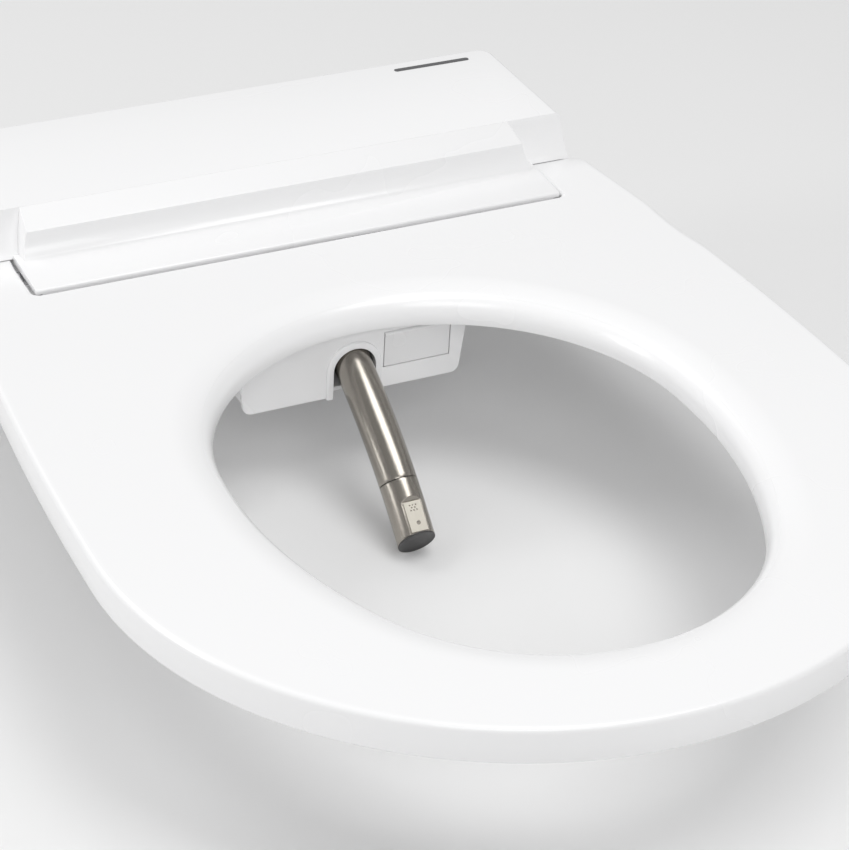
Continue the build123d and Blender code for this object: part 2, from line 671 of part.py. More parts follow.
def nozzle_guide():
    """Fixed cradle under the tube, on a foot that stands in the tray."""
    cradle = bent(Pos(0, -8.4) * Rectangle(22, 9), 15.8, 21.2)
    foot = block((-8, 8), (-94, -86.5), (-25.0, -10.0))
    return cradle + foot - bent(Circle(TUBE_R + 1.0), 14, 25)


def nozzle_tray():
    """Box under the back of the seat that carries the fascia, the nozzle and the air duct."""
    front = FASCIA_Y + FASCIA_THICK
    outer = [(front, 4.8), (front, -27.0), (-84.0, -27.0), (PAN_NOSE_Y, -8.0), (PAN_NOSE_Y, 4.8)]
    inner = [(front - 1, 2.8), (front - 1, -25.0), (-84.8, -25.0), (PAN_NOSE_Y - 2.0, -8.6),
             (PAN_NOSE_Y - 2.0, 2.8)]
    tray = side_profile(outer, 54.0) - side_profile(inner, 52.0)
    tray = tray - block((-19, 19), (-112, PAN_NOSE_Y + 1), (-4, 6))
    tray = tray - block((-19, 19), (PAN_NOSE_Y - 4, PAN_NOSE_Y + 1), (-9, 6))
    tray = tray - block((20, 49), (PAN_NOSE_Y - 4, PAN_NOSE_Y + 1), (-6.4, 3))
    hook = block((-50, -22), (PAN_NOSE_Y - 1, PAN_NOSE_Y), (3, 20))
    return tray + hook + mirror(hook, about=Plane.YZ)


def arch(half, z_centre, low, start, end):
    """Upright arch shape, open at the bottom, between two y positions."""
    round_top = rod("y", start, end, (0, z_centre), half)
    return round_top + block((-half, half), (start, end), (low, z_centre))


def nozzle_fascia():
    low = FASCIA_LOW_Z
    half = FASCIA_HALF
    outline = make_face(Polyline((-half - 1, FASCIA_TOP_Z), (half + 1, FASCIA_TOP_Z), (half - 2.2, low + 5),
                                 (half - 3, low), (3 - half, low), (2.2 - half, low + 5), close=True))
    corners = outline.vertices().sort_by(Axis.Y)[:2]
    outline = fillet(corners, 4.6)
    plate = extrude(Plane.XZ.offset(-FASCIA_Y) * outline, amount=-FASCIA_THICK)
    plate = fillet([e for e in plate.faces().sort_by(Axis.Y)[0].edges() if e.center().Z < 4], 0.8)
    plate = plate - arch(PORT_HALF + 1.2, PORT_Z, low - 1, FASCIA_Y - 1, FASCIA_Y + 4)
    window = block((FLAP_X[0] - 0.5, FLAP_X[1] + 0.5), (FASCIA_Y - 1, FASCIA_Y + 4),
                   (FLAP_Z[0] - 0.5, FLAP_Z[1] + 0.5))
    return plate - window - flap_pin() - nozzle_passage()


def nozzle_port_ring():
    """Raised arch round the port, with a skirt that reaches back into the tray."""
    front = FASCIA_Y - 1.4
    ring = arch(PORT_HALF + PORT_RING, PORT_Z, FASCIA_LOW_Z, front, FASCIA_Y)
    front_edges = ring.faces().sort_by(Axis.Y)[0].edges()
    ring = fillet([e for e in front_edges if e.center().Z > FASCIA_LOW_Z + 1], 1.1)
    ring = ring + arch(PORT_HALF + 1.1, PORT_Z, FASCIA_LOW_Z, FASCIA_Y - 0.5, FASCIA_Y + FASCIA_THICK)
    return ring - arch(PORT_HALF, PORT_Z, FASCIA_LOW_Z - 5, front - 1, FASCIA_Y + 6) - nozzle_passage()


def nozzle_passage():
    """Room that the nozzle needs through the port."""
    return bent(Circle(TUBE_R + 0.5), 22, 31)


def dryer_flap():
    body = block(FLAP_X, (FASCIA_Y, FASCIA_Y + FLAP_THICK), FLAP_Z)
    barrel = rod("x", FLAP_X[0], FLAP_X[1], (FLAP_PIVOT_Y, FLAP_PIVOT_Z), 1.4)
    top = block(FLAP_X, (FASCIA_Y - 1, FASCIA_Y + 4), (FLAP_PIVOT_Z, FLAP_Z[1] + 1))
    body = (body - top) + barrel
    return body - rod("x", FLAP_X[0] - 1, FLAP_X[1] + 1, (FLAP_PIVOT_Y, FLAP_PIVOT_Z), 0.85)


def flap_pin():
    ends = (FLAP_X[0] - 3.0, FLAP_X[1] + 3.0)
    pin = rod("x", ends[0], ends[1], (FLAP_PIVOT_Y, FLAP_PIVOT_Z), 0.8)
    return pin


# Dryer

def blower_housing():
    x, y = BLOWER_XY
    casing = rod("z", BLOWER_Z[0], BLOWER_Z[1], (x, y), BLOWER_R)
    throat = block((x - 26, x - 4), (y - 34, y), (BLOWER_Z[0], BLOWER_Z[1]))
    casing = casing + throat
    casing = casing - rod("z", BLOWER_Z[0] + 1.6, BLOWER_Z[1] - 1.6, (x, y), BLOWER_R - 1.6)
    casing = casing - block((x - 24.4, x - 5.6), (y - 35, y), (BLOWER_Z[0] + 1.6, BLOWER_Z[1] - 1.6))
    return casing - rod("z", BLOWER_Z[1] - 3, BLOWER_Z[1] + 1, (x, y), 13.0)


def blower_impeller():
    x, y = BLOWER_XY
    low = BLOWER_Z[0] + 3.0
    wheel = rod("z", low, low + 1.6, (x, y), 20.0) + rod("z", low, low + 12, (x, y), 5.0)
    blade = block((13.0, 19.6), (-0.6, 0.6), (low + 1, low + 14))
    for index in range(18):
        wheel += Pos(x, y, 0) * Rot(0, 0, index * 20) * blade
    rim = tube("z", low + 13, low + 14.4, (x, y), 20.0, 18.0)
    return wheel + rim + rod("z", low + 11, 33.0, (x, y), 1.5)


def blower_motor():
    x, y = BLOWER_XY
    body = rod("z", BLOWER_Z[1] - 3.6, 41.4, (x, y), 12.6)
    return body - rod("z", 28, 34.0, (x, y), 1.65)


def duct_blocks():
    """Runs of the air duct from the blower throat, across, down and forward to the flap."""
    throat = (BLOWER_XY[0] - 26, BLOWER_XY[0] - 4)
    across = (20.5, 48.5)
    return [
        (throat, (-50.0, -10.2), (9.0, 20.0)),
        ((across[0], throat[1]), (-57.0, -46.0), (4.0, 20.0)),
        (across, (-57.0, -46.0), (-5.8, 20.0)),
        (across, (-80.0, -50.0), (-5.8, 1.8)),
        (across, (-112.0, -76.0), (-15.0, 1.8)),
    ]


def dryer_duct():
    wall = 1.0
    duct = Part() + [block(*limits) for limits in duct_blocks()]
    for limits in duct_blocks():
        inner = [(low + wall, high - wall) for low, high in limits]
        duct = duct - block(*inner)
    throat, front = duct_blocks()[0], duct_blocks()[-1]
    duct = duct - block((throat[0][0] + wall, throat[0][1] - wall), (-12, -9), (10.0, 19.0))
    return duct - block((front[0][0] + wall, front[0][1] - wall), (-113, -109), (-14.0, 0.8))


def air_heater():
    """Ceramic heater fins across the duct."""
    fins = block((22, 47), (-94.4, -94.0), (-13.4, 0.2))
    for index in range(8):
        x = 22.6 + index * 3.3
        fins += block((x, x + 0.7), (-102, -86), (-13.4, 0.2))
    return fins


# Water path

def inlet_fitting():
    left = -HOUSE_HALF_WIDTH
    body = rod("x", left - 14, left, INLET_YZ, INLET_R) + rod("x", left - 0.5, left + 10, INLET_YZ, 7.9)
    hexagon = extrude(RegularPolygon(10.2, 6), amount=4)
    nut = Pos(left + 5.2, INLET_YZ[0], INLET_YZ[1]) * Rot(0, 90, 0) * hexagon
    return body + nut - rod("x", left - 15, left + 11, INLET_YZ, 5.5)


def inlet_filter():
    left = -HOUSE_HALF_WIDTH
    return tube("x", left - 12, left + 6, INLET_YZ, 5.4, 4.4) + rod("x", left + 5, left + 6, INLET_YZ, 5.4)


def solenoid_valve():
    x, y = VALVE_XY
    body = block((x - 12, x + 12), (y - 9, y + 9), (WALL, 14)) + rod("z", 13.5, 38, (x, y), 8.5)
    body = body + block((x - 9, x + 9), (y - 11, y + 11), (17, 34))
    chamber = rod("z", 9, 36.5, (x, y), 4.6)
    return body - chamber


def valve_plunger():
    x, y = VALVE_XY
    return rod("z", 9.2, 24, (x, y), 4.2) - rod("z", 20, 25, (x, y), 3.0)


def plunger_spring():
    x, y = VALVE_XY
    return coil(Plane((x, y, 21.2)), 2.1, 0.35, 14.0, 6)


def flow_heater():
    tank = block((-92, -34), (26, 60), (CHANNEL_TOP_Z + WALL, 38))
    tank = fillet(tank.edges().filter_by(Axis.X), 5.0)
    ribs = [block((x, x + 2), (25, 61), (CHANNEL_TOP_Z + WALL, 39)) for x in (-84, -64, -44)]
    return tank + ribs


def spray_pump():
    body = rod("x", -96, -52, (6, 22), 11.0)
    head = block((-54, -44), (-6, 18), (10, 34))
    foot = block((-90, -50), (-3, 15), (CHANNEL_TOP_Z + WALL, 14))
    return body + head + foot


def diverter_valve():
    body = rod("y", -14, 12, (-24, 18), 8.5) + block((-32, -16), (-12, 10), (CHANNEL_TOP_Z + WALL, 18))
    return body + rod("y", 12, 20, (-24, 18), 6.0)


def pipe(points, radius, bend):
    """Pipe along straight runs with bends of one radius."""
    path = FilletPolyline(*points, radius=bend)
    section = Plane(path @ 0, z_dir=path % 0) * Circle(radius)
    return sweep(section, path=path)


def water_pipes():
    runs = [
        [(-124, 20, 9), (-112, 20, 9), (-112, 20, 30), (-112, 42, 30), (-92, 42, 30)],
        [(-57, 26, 30), (-57, 21, 30), (-49, 21, 30), (-49, 18, 30)],
        [(-44, 4, 30), (-36, 4, 30), (-36, 4, 20), (-32.7, 4, 20)],
    ]
    group = pipe(runs[0], 3.0, 5.0)
    return Part() + [group, pipe(runs[1], 2.4, 2.45), pipe(runs[2], 2.4, 3.0)]


# Electronics

def control_board():
    board = block((56, 96), (-22.0, -12.5), (24.0, 25.6))
    chips = [block((58 + 12 * i, 66 + 12 * i), (-21, -14), (25.6, 28.0)) for i in range(3)]
    return board + chips


def power_board():
    board = block((116, 143), (-14, 59), (WALL + 3, WALL + 4.6))
    posts = [rod("z", WALL, WALL + 3.2, (x, y), 2.5) for x in (120, 139) for y in (-10, 55)]
    parts = [rod("z", WALL + 4.6, 22, (123, y), 4.5) for y in (-6, 5)]
    return board + posts + parts


def transformer():
    core = block((117, 142), (22, 54), (WALL + 4.6, 36))
    winding = block((115, 144), (28, 48), (13, 32))
    return core + winding


def cable_gland():
    right = HOUSE_HALF_WIDTH
    body = rod("x", right - 8, right + 6, GLAND_YZ, 4.9) + rod("x", right, right + 4, GLAND_YZ, 8.0)
    body = body + rod("x", right - 6.4, right - WALL, GLAND_YZ, 7.0)
    return body - rod("x", right - 9, right + 7, GLAND_YZ, 3.2)


NODES = [
    mounting_plate, anti_slip_pad, fixing_bolts, fixing_washers,
    base_pan, top_cover, hinge_cover, badge_inlay, cover_screws, hinge_dampers,
    nozzle_tray, nozzle_fascia, nozzle_port_ring, nozzle_guide, flap_pin,
    nozzle_motor, motor_bracket, blower_housing, blower_motor, dryer_duct, air_heater,
    inlet_fitting, inlet_filter, solenoid_valve, plunger_spring, flow_heater, spray_pump,
    diverter_valve, water_pipes, control_board, power_board, transformer, cable_gland,
    button_guide, release_spring,
    seat_top_shell, seat_bottom_shell, seat_heater, occupancy_sensor, seat_bumpers, seat_hinge_pins,
    nozzle_tube, nozzle_tip, spray_plate, nozzle_end_cap, nozzle_water_line, nozzle_carriage,
    drive_pinion, dryer_flap, blower_impeller, valve_plunger, release_button,
]

os.makedirs("parts", exist_ok=True)
for make_node in NODES:
    export_step(make_node(), "parts/" + make_node.__name__ + ".step")
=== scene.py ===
import json
import math

import bmesh
import bpy
from mathutils import Matrix, Vector
from mathutils.geometry import delaunay_2d_cdt


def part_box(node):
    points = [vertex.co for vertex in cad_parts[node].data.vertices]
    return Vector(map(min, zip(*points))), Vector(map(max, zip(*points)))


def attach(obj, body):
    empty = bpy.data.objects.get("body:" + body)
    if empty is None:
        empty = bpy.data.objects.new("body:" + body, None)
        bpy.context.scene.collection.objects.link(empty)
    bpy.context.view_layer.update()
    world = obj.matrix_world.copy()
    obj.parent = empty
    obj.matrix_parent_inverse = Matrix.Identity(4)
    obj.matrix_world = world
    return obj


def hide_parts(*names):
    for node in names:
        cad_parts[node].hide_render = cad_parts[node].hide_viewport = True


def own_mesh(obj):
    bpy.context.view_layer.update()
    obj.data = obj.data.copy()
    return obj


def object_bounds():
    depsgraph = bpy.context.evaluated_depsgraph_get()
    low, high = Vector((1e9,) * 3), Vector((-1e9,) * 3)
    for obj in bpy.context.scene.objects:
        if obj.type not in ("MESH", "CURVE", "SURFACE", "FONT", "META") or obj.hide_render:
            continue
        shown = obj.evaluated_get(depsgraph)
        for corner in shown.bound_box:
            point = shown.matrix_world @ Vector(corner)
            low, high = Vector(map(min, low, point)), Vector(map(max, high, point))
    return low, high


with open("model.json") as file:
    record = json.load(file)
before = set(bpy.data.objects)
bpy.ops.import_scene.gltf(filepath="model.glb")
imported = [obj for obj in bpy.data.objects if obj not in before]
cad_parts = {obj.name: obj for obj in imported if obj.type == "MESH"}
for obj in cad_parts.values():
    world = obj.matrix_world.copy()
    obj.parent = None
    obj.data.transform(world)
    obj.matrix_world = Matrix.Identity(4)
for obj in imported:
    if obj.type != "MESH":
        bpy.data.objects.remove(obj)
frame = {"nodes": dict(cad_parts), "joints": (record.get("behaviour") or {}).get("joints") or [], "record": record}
CAD_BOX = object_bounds()

bl_info = {
    "name": "Electric bidet seat",
    "version": (1, 0, 0),
    "blender": (4, 5, 0),
    "location": "View3D > Sidebar > Bidet seat",
    "description": "Builds the visible pieces and finishes of an electric bidet seat around its packed frame",
    "category": "Object",
}

MM = 0.001


# ---------------------------------------------------------------- properties

def length_property(name, description, default):
    """A length in metres with the settings that every size here shares."""
    return bpy.props.FloatProperty(name=name, description=description, default=default, min=0.0,
                                   unit="LENGTH", subtype="DISTANCE", precision=4)


def colour_property(name, description, default):
    """A linear colour with the settings that every finish here shares."""
    return bpy.props.FloatVectorProperty(name=name, description=description, default=default, size=3,
                                         min=0.0, max=1.0, subtype="COLOR")


class BidetSeatSizes(bpy.types.PropertyGroup):
    """Sizes of the rounded shapes."""
    top_edge: length_property("Ring outer rounding", "Rounding along the ring's outer top edge", 0.0024)
    low_edge: length_property("Ring lower rounding", "Rounding along the ring's lower edges", 0.0011)
    dish_width: length_property("Dish width", "How far the soft slope reaches out from the opening", 0.0190)
    dish_drop: length_property("Dish drop", "How much the slope falls before the inner rounding", 0.0020)
    lip_round: length_property("Lip rounding", "Rounding over the opening's edge", 0.0072)
    scallop_depth: length_property("Finger grip depth", "Depth of the finger grip in the right edge", 0.0054)
    cover_edge: length_property("Cover rounding", "Rounding on the hinge cover's long edges", 0.0011)
    shell_edge: length_property("Housing rounding", "Rounding on the housing's edges", 0.0007)
    seam_groove: length_property("Nozzle seam", "Width of the groove between nozzle tube and tip", 0.00035)


class BidetSeatFinishes(bpy.types.PropertyGroup):
    """Colours of the finishes."""
    white: colour_property("Gloss white", "Ring, covers and fascia", (0.90, 0.90, 0.905))
    satin: colour_property("Satin white", "Base pan and inner mouldings", (0.80, 0.80, 0.805))
    nickel: colour_property("Nozzle steel", "Brushed nozzle tube and tip", (0.36, 0.335, 0.30))
    plate: colour_property("Spray plate", "Satin plate with the spray holes", (0.50, 0.475, 0.42))
    cap: colour_property("End cap", "Dark cap on the nozzle's end", (0.045, 0.044, 0.044))
    inlay: colour_property("Inlay", "Plain inlay on the housing", (0.11, 0.11, 0.115))
    floor: colour_property("Floor", "Plain studio floor", (0.82, 0.82, 0.82))


def sizes():
    return bpy.context.scene.bidet_seat_sizes


def finishes():
    return bpy.context.scene.bidet_seat_finishes


# ---------------------------------------------------------------- shader groups

def group_socket(group, name, kind, way, default=None):
    socket = group.interface.new_socket(name=name, in_out=way, socket_type=kind)
    if default is not None:
        socket.default_value = default
    return socket


def moulded_surface():
    """Group: fine tone and roughness variation and a faint skin for moulded plastic."""
    if "Moulded surface" in bpy.data.node_groups:
        return bpy.data.node_groups["Moulded surface"]
    group = bpy.data.node_groups.new("Moulded surface", "ShaderNodeTree")
    group_socket(group, "Colour", "NodeSocketColor", "INPUT", (0.9, 0.9, 0.9, 1.0))
    group_socket(group, "Roughness", "NodeSocketFloat", "INPUT", 0.15)
    group_socket(group, "Grain scale", "NodeSocketFloat", "INPUT", 220.0)
    group_socket(group, "Grain height", "NodeSocketFloat", "INPUT", 0.00002)
    group_socket(group, "Wear", "NodeSocketFloat", "INPUT", 0.1)
    group_socket(group, "Colour", "NodeSocketColor", "OUTPUT")
    group_socket(group, "Roughness", "NodeSocketFloat", "OUTPUT")
    group_socket(group, "Normal", "NodeSocketVector", "OUTPUT")
    nodes, links = group.nodes, group.links
    inputs = nodes.new("NodeGroupInput")
    outputs = nodes.new("NodeGroupOutput")
    where = nodes.new("ShaderNodeTexCoord")
    broad = nodes.new("ShaderNodeTexNoise")
    broad.inputs["Scale"].default_value = 9.0
    broad.inputs["Detail"].default_value = 3.0
    fine = nodes.new("ShaderNodeTexNoise")
    fine.inputs["Detail"].default_value = 2.0
    links.new(where.outputs["Object"], broad.inputs["Vector"])
    links.new(where.outputs["Object"], fine.inputs["Vector"])
    links.new(inputs.outputs["Grain scale"], fine.inputs["Scale"])
    spread = nodes.new("ShaderNodeMapRange")
    spread.inputs["To Min"].default_value = -0.5
    spread.inputs["To Max"].default_value = 0.5
    links.new(broad.outputs["Fac"], spread.inputs["Value"])
    amount = nodes.new("ShaderNodeMath")
    amount.operation = "MULTIPLY"
    links.new(spread.outputs["Result"], amount.inputs[0])
    links.new(inputs.outputs["Wear"], amount.inputs[1])
    rough = nodes.new("ShaderNodeMath")
    rough.operation = "ADD"
    rough.use_clamp = True
    links.new(amount.outputs[0], rough.inputs[0])
    links.new(inputs.outputs["Roughness"], rough.inputs[1])
    tone = nodes.new("ShaderNodeMath")
    tone.operation = "MULTIPLY_ADD"
    tone.inputs[1].default_value = 0.12
    tone.inputs[2].default_value = 1.0
    links.new(amount.outputs[0], tone.inputs[0])
    shade = nodes.new("ShaderNodeVectorMath")
    shade.operation = "SCALE"
    links.new(inputs.outputs["Colour"], shade.inputs[0])
    links.new(tone.outputs[0], shade.inputs["Scale"])
    bump = nodes.new("ShaderNodeBump")
    bump.inputs["Strength"].default_value = 1.0
    links.new(inputs.outputs["Grain height"], bump.inputs["Distance"])
    links.new(fine.outputs["Fac"], bump.inputs["Height"])
    links.new(shade.outputs[0], outputs.inputs["Colour"])
    links.new(rough.outputs[0], outputs.inputs["Roughness"])
    links.new(bump.outputs["Normal"], outputs.inputs["Normal"])
    return group


def brushed_surface():
    """Group: hair-fine streaks along one direction for brushed metal."""
    if "Brushed surface" in bpy.data.node_groups:
        return bpy.data.node_groups["Brushed surface"]
    group = bpy.data.node_groups.new("Brushed surface", "ShaderNodeTree")
    group_socket(group, "Vector", "NodeSocketVector", "INPUT")
    group_socket(group, "Colour", "NodeSocketColor", "INPUT", (0.5, 0.5, 0.5, 1.0))
    group_socket(group, "Roughness", "NodeSocketFloat", "INPUT", 0.3)
    group_socket(group, "Streaks", "NodeSocketFloat", "INPUT", 0.15)
    group_socket(group, "Streak height", "NodeSocketFloat", "INPUT", 0.00002)
    group_socket(group, "Colour", "NodeSocketColor", "OUTPUT")
    group_socket(group, "Roughness", "NodeSocketFloat", "OUTPUT")
    group_socket(group, "Normal", "NodeSocketVector", "OUTPUT")
    nodes, links = group.nodes, group.links
    inputs = nodes.new("NodeGroupInput")
    outputs = nodes.new("NodeGroupOutput")
    streaks = nodes.new("ShaderNodeTexNoise")
    streaks.inputs["Scale"].default_value = 1.0
    streaks.inputs["Detail"].default_value = 5.0
    streaks.inputs["Roughness"].default_value = 0.65
    links.new(inputs.outputs["Vector"], streaks.inputs["Vector"])
    spread = nodes.new("ShaderNodeMapRange")
    spread.inputs["To Min"].default_value = -0.5
    spread.inputs["To Max"].default_value = 0.5
    links.new(streaks.outputs["Fac"], spread.inputs["Value"])
    amount = nodes.new("ShaderNodeMath")
    amount.operation = "MULTIPLY"
    links.new(spread.outputs["Result"], amount.inputs[0])
    links.new(inputs.outputs["Streaks"], amount.inputs[1])
    rough = nodes.new("ShaderNodeMath")
    rough.operation = "ADD"
    rough.use_clamp = True
    links.new(amount.outputs[0], rough.inputs[0])
    links.new(inputs.outputs["Roughness"], rough.inputs[1])
    tone = nodes.new("ShaderNodeMath")
    tone.operation = "MULTIPLY_ADD"
    tone.inputs[1].default_value = 1.4
    tone.inputs[2].default_value = 1.0
    links.new(amount.outputs[0], tone.inputs[0])
    shade = nodes.new("ShaderNodeVectorMath")
    shade.operation = "SCALE"
    links.new(inputs.outputs["Colour"], shade.inputs[0])
    links.new(tone.outputs[0], shade.inputs["Scale"])
    bump = nodes.new("ShaderNodeBump")
    bump.inputs["Strength"].default_value = 1.0
    links.new(inputs.outputs["Streak height"], bump.inputs["Distance"])
    links.new(streaks.outputs["Fac"], bump.inputs["Height"])
    links.new(shade.outputs[0], outputs.inputs["Colour"])
    links.new(rough.outputs[0], outputs.inputs["Roughness"])
    links.new(bump.outputs["Normal"], outputs.inputs["Normal"])
    return group


# ---------------------------------------------------------------- materials

def start_material(name):
    material = bpy.data.materials.new(name)
    material.use_nodes = True
    return material, material.node_tree.nodes, material.node_tree.links


def join_group(nodes, links, group, colour, roughness):
    effect = nodes.new("ShaderNodeGroup")
    effect.node_tree = group
    effect.inputs["Colour"].default_value = (*colour, 1.0)
    effect.inputs["Roughness"].default_value = roughness
    shader = nodes["Principled BSDF"]
    links.new(effect.outputs["Colour"], shader.inputs["Base Color"])
    links.new(effect.outputs["Roughness"], shader.inputs["Roughness"])
    links.new(effect.outputs["Normal"], shader.inputs["Normal"])
    return effect, shader


def moulded(name, colour, roughness, grain_scale=220.0, grain_height=0.00002, wear=0.1, coat=0.0):
    """Moulded plastic or rubber."""
    if name in bpy.data.materials:
        return bpy.data.materials[name]
    material, nodes, links = start_material(name)
    effect, shader = join_group(nodes, links, moulded_surface(), colour, roughness)
    effect.inputs["Grain scale"].default_value = grain_scale
    effect.inputs["Grain height"].default_value = grain_height
    effect.inputs["Wear"].default_value = wear
    shader.inputs["Coat Weight"].default_value = coat
    shader.inputs["Coat Roughness"].default_value = 0.04
    return material


def brushed(name, colour, roughness, stretch, streaks=0.15, height=0.00002, by_uv=False):
    """Metal with streaks; stretch holds how finely they repeat along each direction."""
    if name in bpy.data.materials:
        return bpy.data.materials[name]
    material, nodes, links = start_material(name)
    effect, shader = join_group(nodes, links, brushed_surface(), colour, roughness)
    effect.inputs["Streaks"].default_value = streaks
    effect.inputs["Streak height"].default_value = height
    where = nodes.new("ShaderNodeTexCoord")
    spread = nodes.new("ShaderNodeMapping")
    spread.inputs["Scale"].default_value = stretch
    links.new(where.outputs["UV" if by_uv else "Object"], spread.inputs["Vector"])
    links.new(spread.outputs["Vector"], effect.inputs["Vector"])
    shader.inputs["Metallic"].default_value = 1.0
    return material


def circuit_board(name):
    """Green board with a fine pattern of copper tracks."""
    if name in bpy.data.materials:
        return bpy.data.materials[name]
    material, nodes, links = start_material(name)
    where = nodes.new("ShaderNodeTexCoord")
    cells = nodes.new("ShaderNodeTexVoronoi")
    cells.distance = "MANHATTAN"
    cells.feature = "DISTANCE_TO_EDGE"
    cells.inputs["Scale"].default_value = 240.0
    links.new(where.outputs["Object"], cells.inputs["Vector"])
    ramp = nodes.new("ShaderNodeValToRGB")
    ramp.color_ramp.elements[0].position = 0.04
    ramp.color_ramp.elements[0].color = (0.10, 0.30, 0.13, 1.0)
    ramp.color_ramp.elements[1].position = 0.07
    ramp.color_ramp.elements[1].color = (0.02, 0.11, 0.05, 1.0)
    links.new(cells.outputs["Distance"], ramp.inputs["Fac"])
    shader = nodes["Principled BSDF"]
    links.new(ramp.outputs["Color"], shader.inputs["Base Color"])
    shader.inputs["Roughness"].default_value = 0.38
    return material


def gloss_white():
    return moulded("Gloss white", finishes().white, 0.27, 90.0, 0.000006, 0.06, 0.2)


def satin_white():
    return moulded("Satin white", finishes().satin, 0.36, 900.0, 0.00002, 0.1)


def nozzle_steel():
    return brushed("Nozzle steel", finishes().nickel, 0.2, (9.0, 700.0, 1.0), 0.16, 0.00002, True)


def spray_steel():
    return brushed("Spray plate", finishes().plate, 0.42, (900.0, 60.0, 60.0), 0.2, 0.00001)


def plain_steel():
    return brushed("Satin steel", (0.56, 0.56, 0.57), 0.3, (260.0, 260.0, 26.0), 0.16)


def slot_material(slot):
    """The finish of each material slot in the record."""
    makers = {
        "white_gloss": gloss_white,
        "seat_white": gloss_white,
        "white_satin": satin_white,
        "nozzle_steel": nozzle_steel,
        "spray_steel": spray_steel,
        "steel": plain_steel,
        "dark_cap": lambda: moulded("Dark cap", finishes().cap, 0.42, 1400.0, 0.00002, 0.12),
        "grey_inlay": lambda: moulded("Inlay", finishes().inlay, 0.3, 1200.0, 0.00001, 0.08),
        "rubber_grey": lambda: moulded("Rubber", (0.06, 0.06, 0.062), 0.62, 1500.0, 0.00006, 0.16),
        "brass": lambda: brushed("Brass", (0.62, 0.43, 0.17), 0.28, (40.0, 500.0, 500.0), 0.18),
        "grey_plastic": lambda: moulded("Grey plastic", (0.17, 0.175, 0.18), 0.42, 1100.0, 0.00003, 0.14),
        "dark_plastic": lambda: moulded("Dark plastic", (0.02, 0.02, 0.021), 0.4, 1100.0, 0.00003, 0.14),
        "acetal": lambda: moulded("Acetal", (0.68, 0.66, 0.6), 0.4, 700.0, 0.00002, 0.1),
        "circuit_green": lambda: circuit_board("Circuit board"),
        "heater_foil": lambda: brushed("Heater foil", (0.6, 0.61, 0.62), 0.34,
                                       (160.0, 160.0, 160.0), 0.3, 0.0001),
        "copper": lambda: brushed("Copper winding", (0.6, 0.24, 0.1), 0.3, (30.0, 900.0, 900.0), 0.2),
    }
    return makers[slot]()


def slot_of(node):
    for part in frame["record"]["subparts"]:
        if part["node"] == node:
            return part["material_slot"]
    raise ValueError("no material slot for " + node)


def body_of(node):
    for body, members in frame["record"]["behaviour"]["bodies"].items():
        if node in members:
            return body
    raise ValueError("no body for " + node)


# ---------------------------------------------------------------- mesh tools

def finish_piece(name, mesh, nodes, smooth_angle=32.0):
    """Link a mesh as a piece that stands for some frame nodes, rides their body and wears their finish."""
    piece = bpy.data.objects.new(name, mesh)
    bpy.context.scene.collection.objects.link(piece)
    slot = slot_of(nodes[0])
    mesh.materials.clear()
    mesh.materials.append(slot_material(slot))
    mesh.shade_smooth()
    mesh.set_sharp_from_angle(angle=math.radians(smooth_angle))
    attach(piece, body_of(nodes[0]))
    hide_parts(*nodes)
    return piece


def mesh_from(name, points, faces):
    """Mesh in metres from points in millimetres, with its faces turned outward."""
    mesh = bpy.data.meshes.new(name)
    mesh.from_pydata([Vector(p) * MM for p in points], [], faces)
    shape = bmesh.new()
    shape.from_mesh(mesh)
    bmesh.ops.remove_doubles(shape, verts=shape.verts, dist=1e-7)
    bmesh.ops.recalc_face_normals(shape, faces=shape.faces)
    shape.to_mesh(mesh)
    shape.free()
    return mesh


def arc_points(centre, radius, start, end, count):
    """Points on an arc in the plan, angles in degrees, both ends included."""
    turns = [math.radians(start + (end - start) * i / (count - 1)) for i in range(count)]
    return [Vector((centre[0] + radius * math.cos(t), centre[1] + radius * math.sin(t))) for t in turns]


def closed_from_half(half):
    """Closed outline, counter-clockwise, from its right half that starts and ends on the middle plane."""
    left = [Vector((-p.x, p.y)) for p in reversed(half[1:-1])]
    return half + left


def inward_steps(loop):
    """Unit step to the left of each vertex of a counter-clockwise loop, lengthened at corners."""
    steps = []
    count = len(loop)
    for i in range(count):
        before = (loop[i] - loop[i - 1]).normalized()
        after = (loop[(i + 1) % count] - loop[i]).normalized()
        normal = Vector((-before.y - after.y, before.x + after.x)).normalized()
        lean = max(0.45, normal.dot(Vector((-after.y, after.x))))
        steps.append(normal / lean)
    return steps


def shifted(loop, steps, amount):
    return [p + s * amount for p, s in zip(loop, steps)]


def inside(point, loop):
    """Whether a plan point lies inside a closed loop."""
    hit = False
    x, y = point
    for i, a in enumerate(loop):
        b = loop[i - 1]
        if (a.y > y) != (b.y > y) and x < (b.x - a.x) * (y - a.y) / (b.y - a.y) + a.x:
            hit = not hit
    return hit


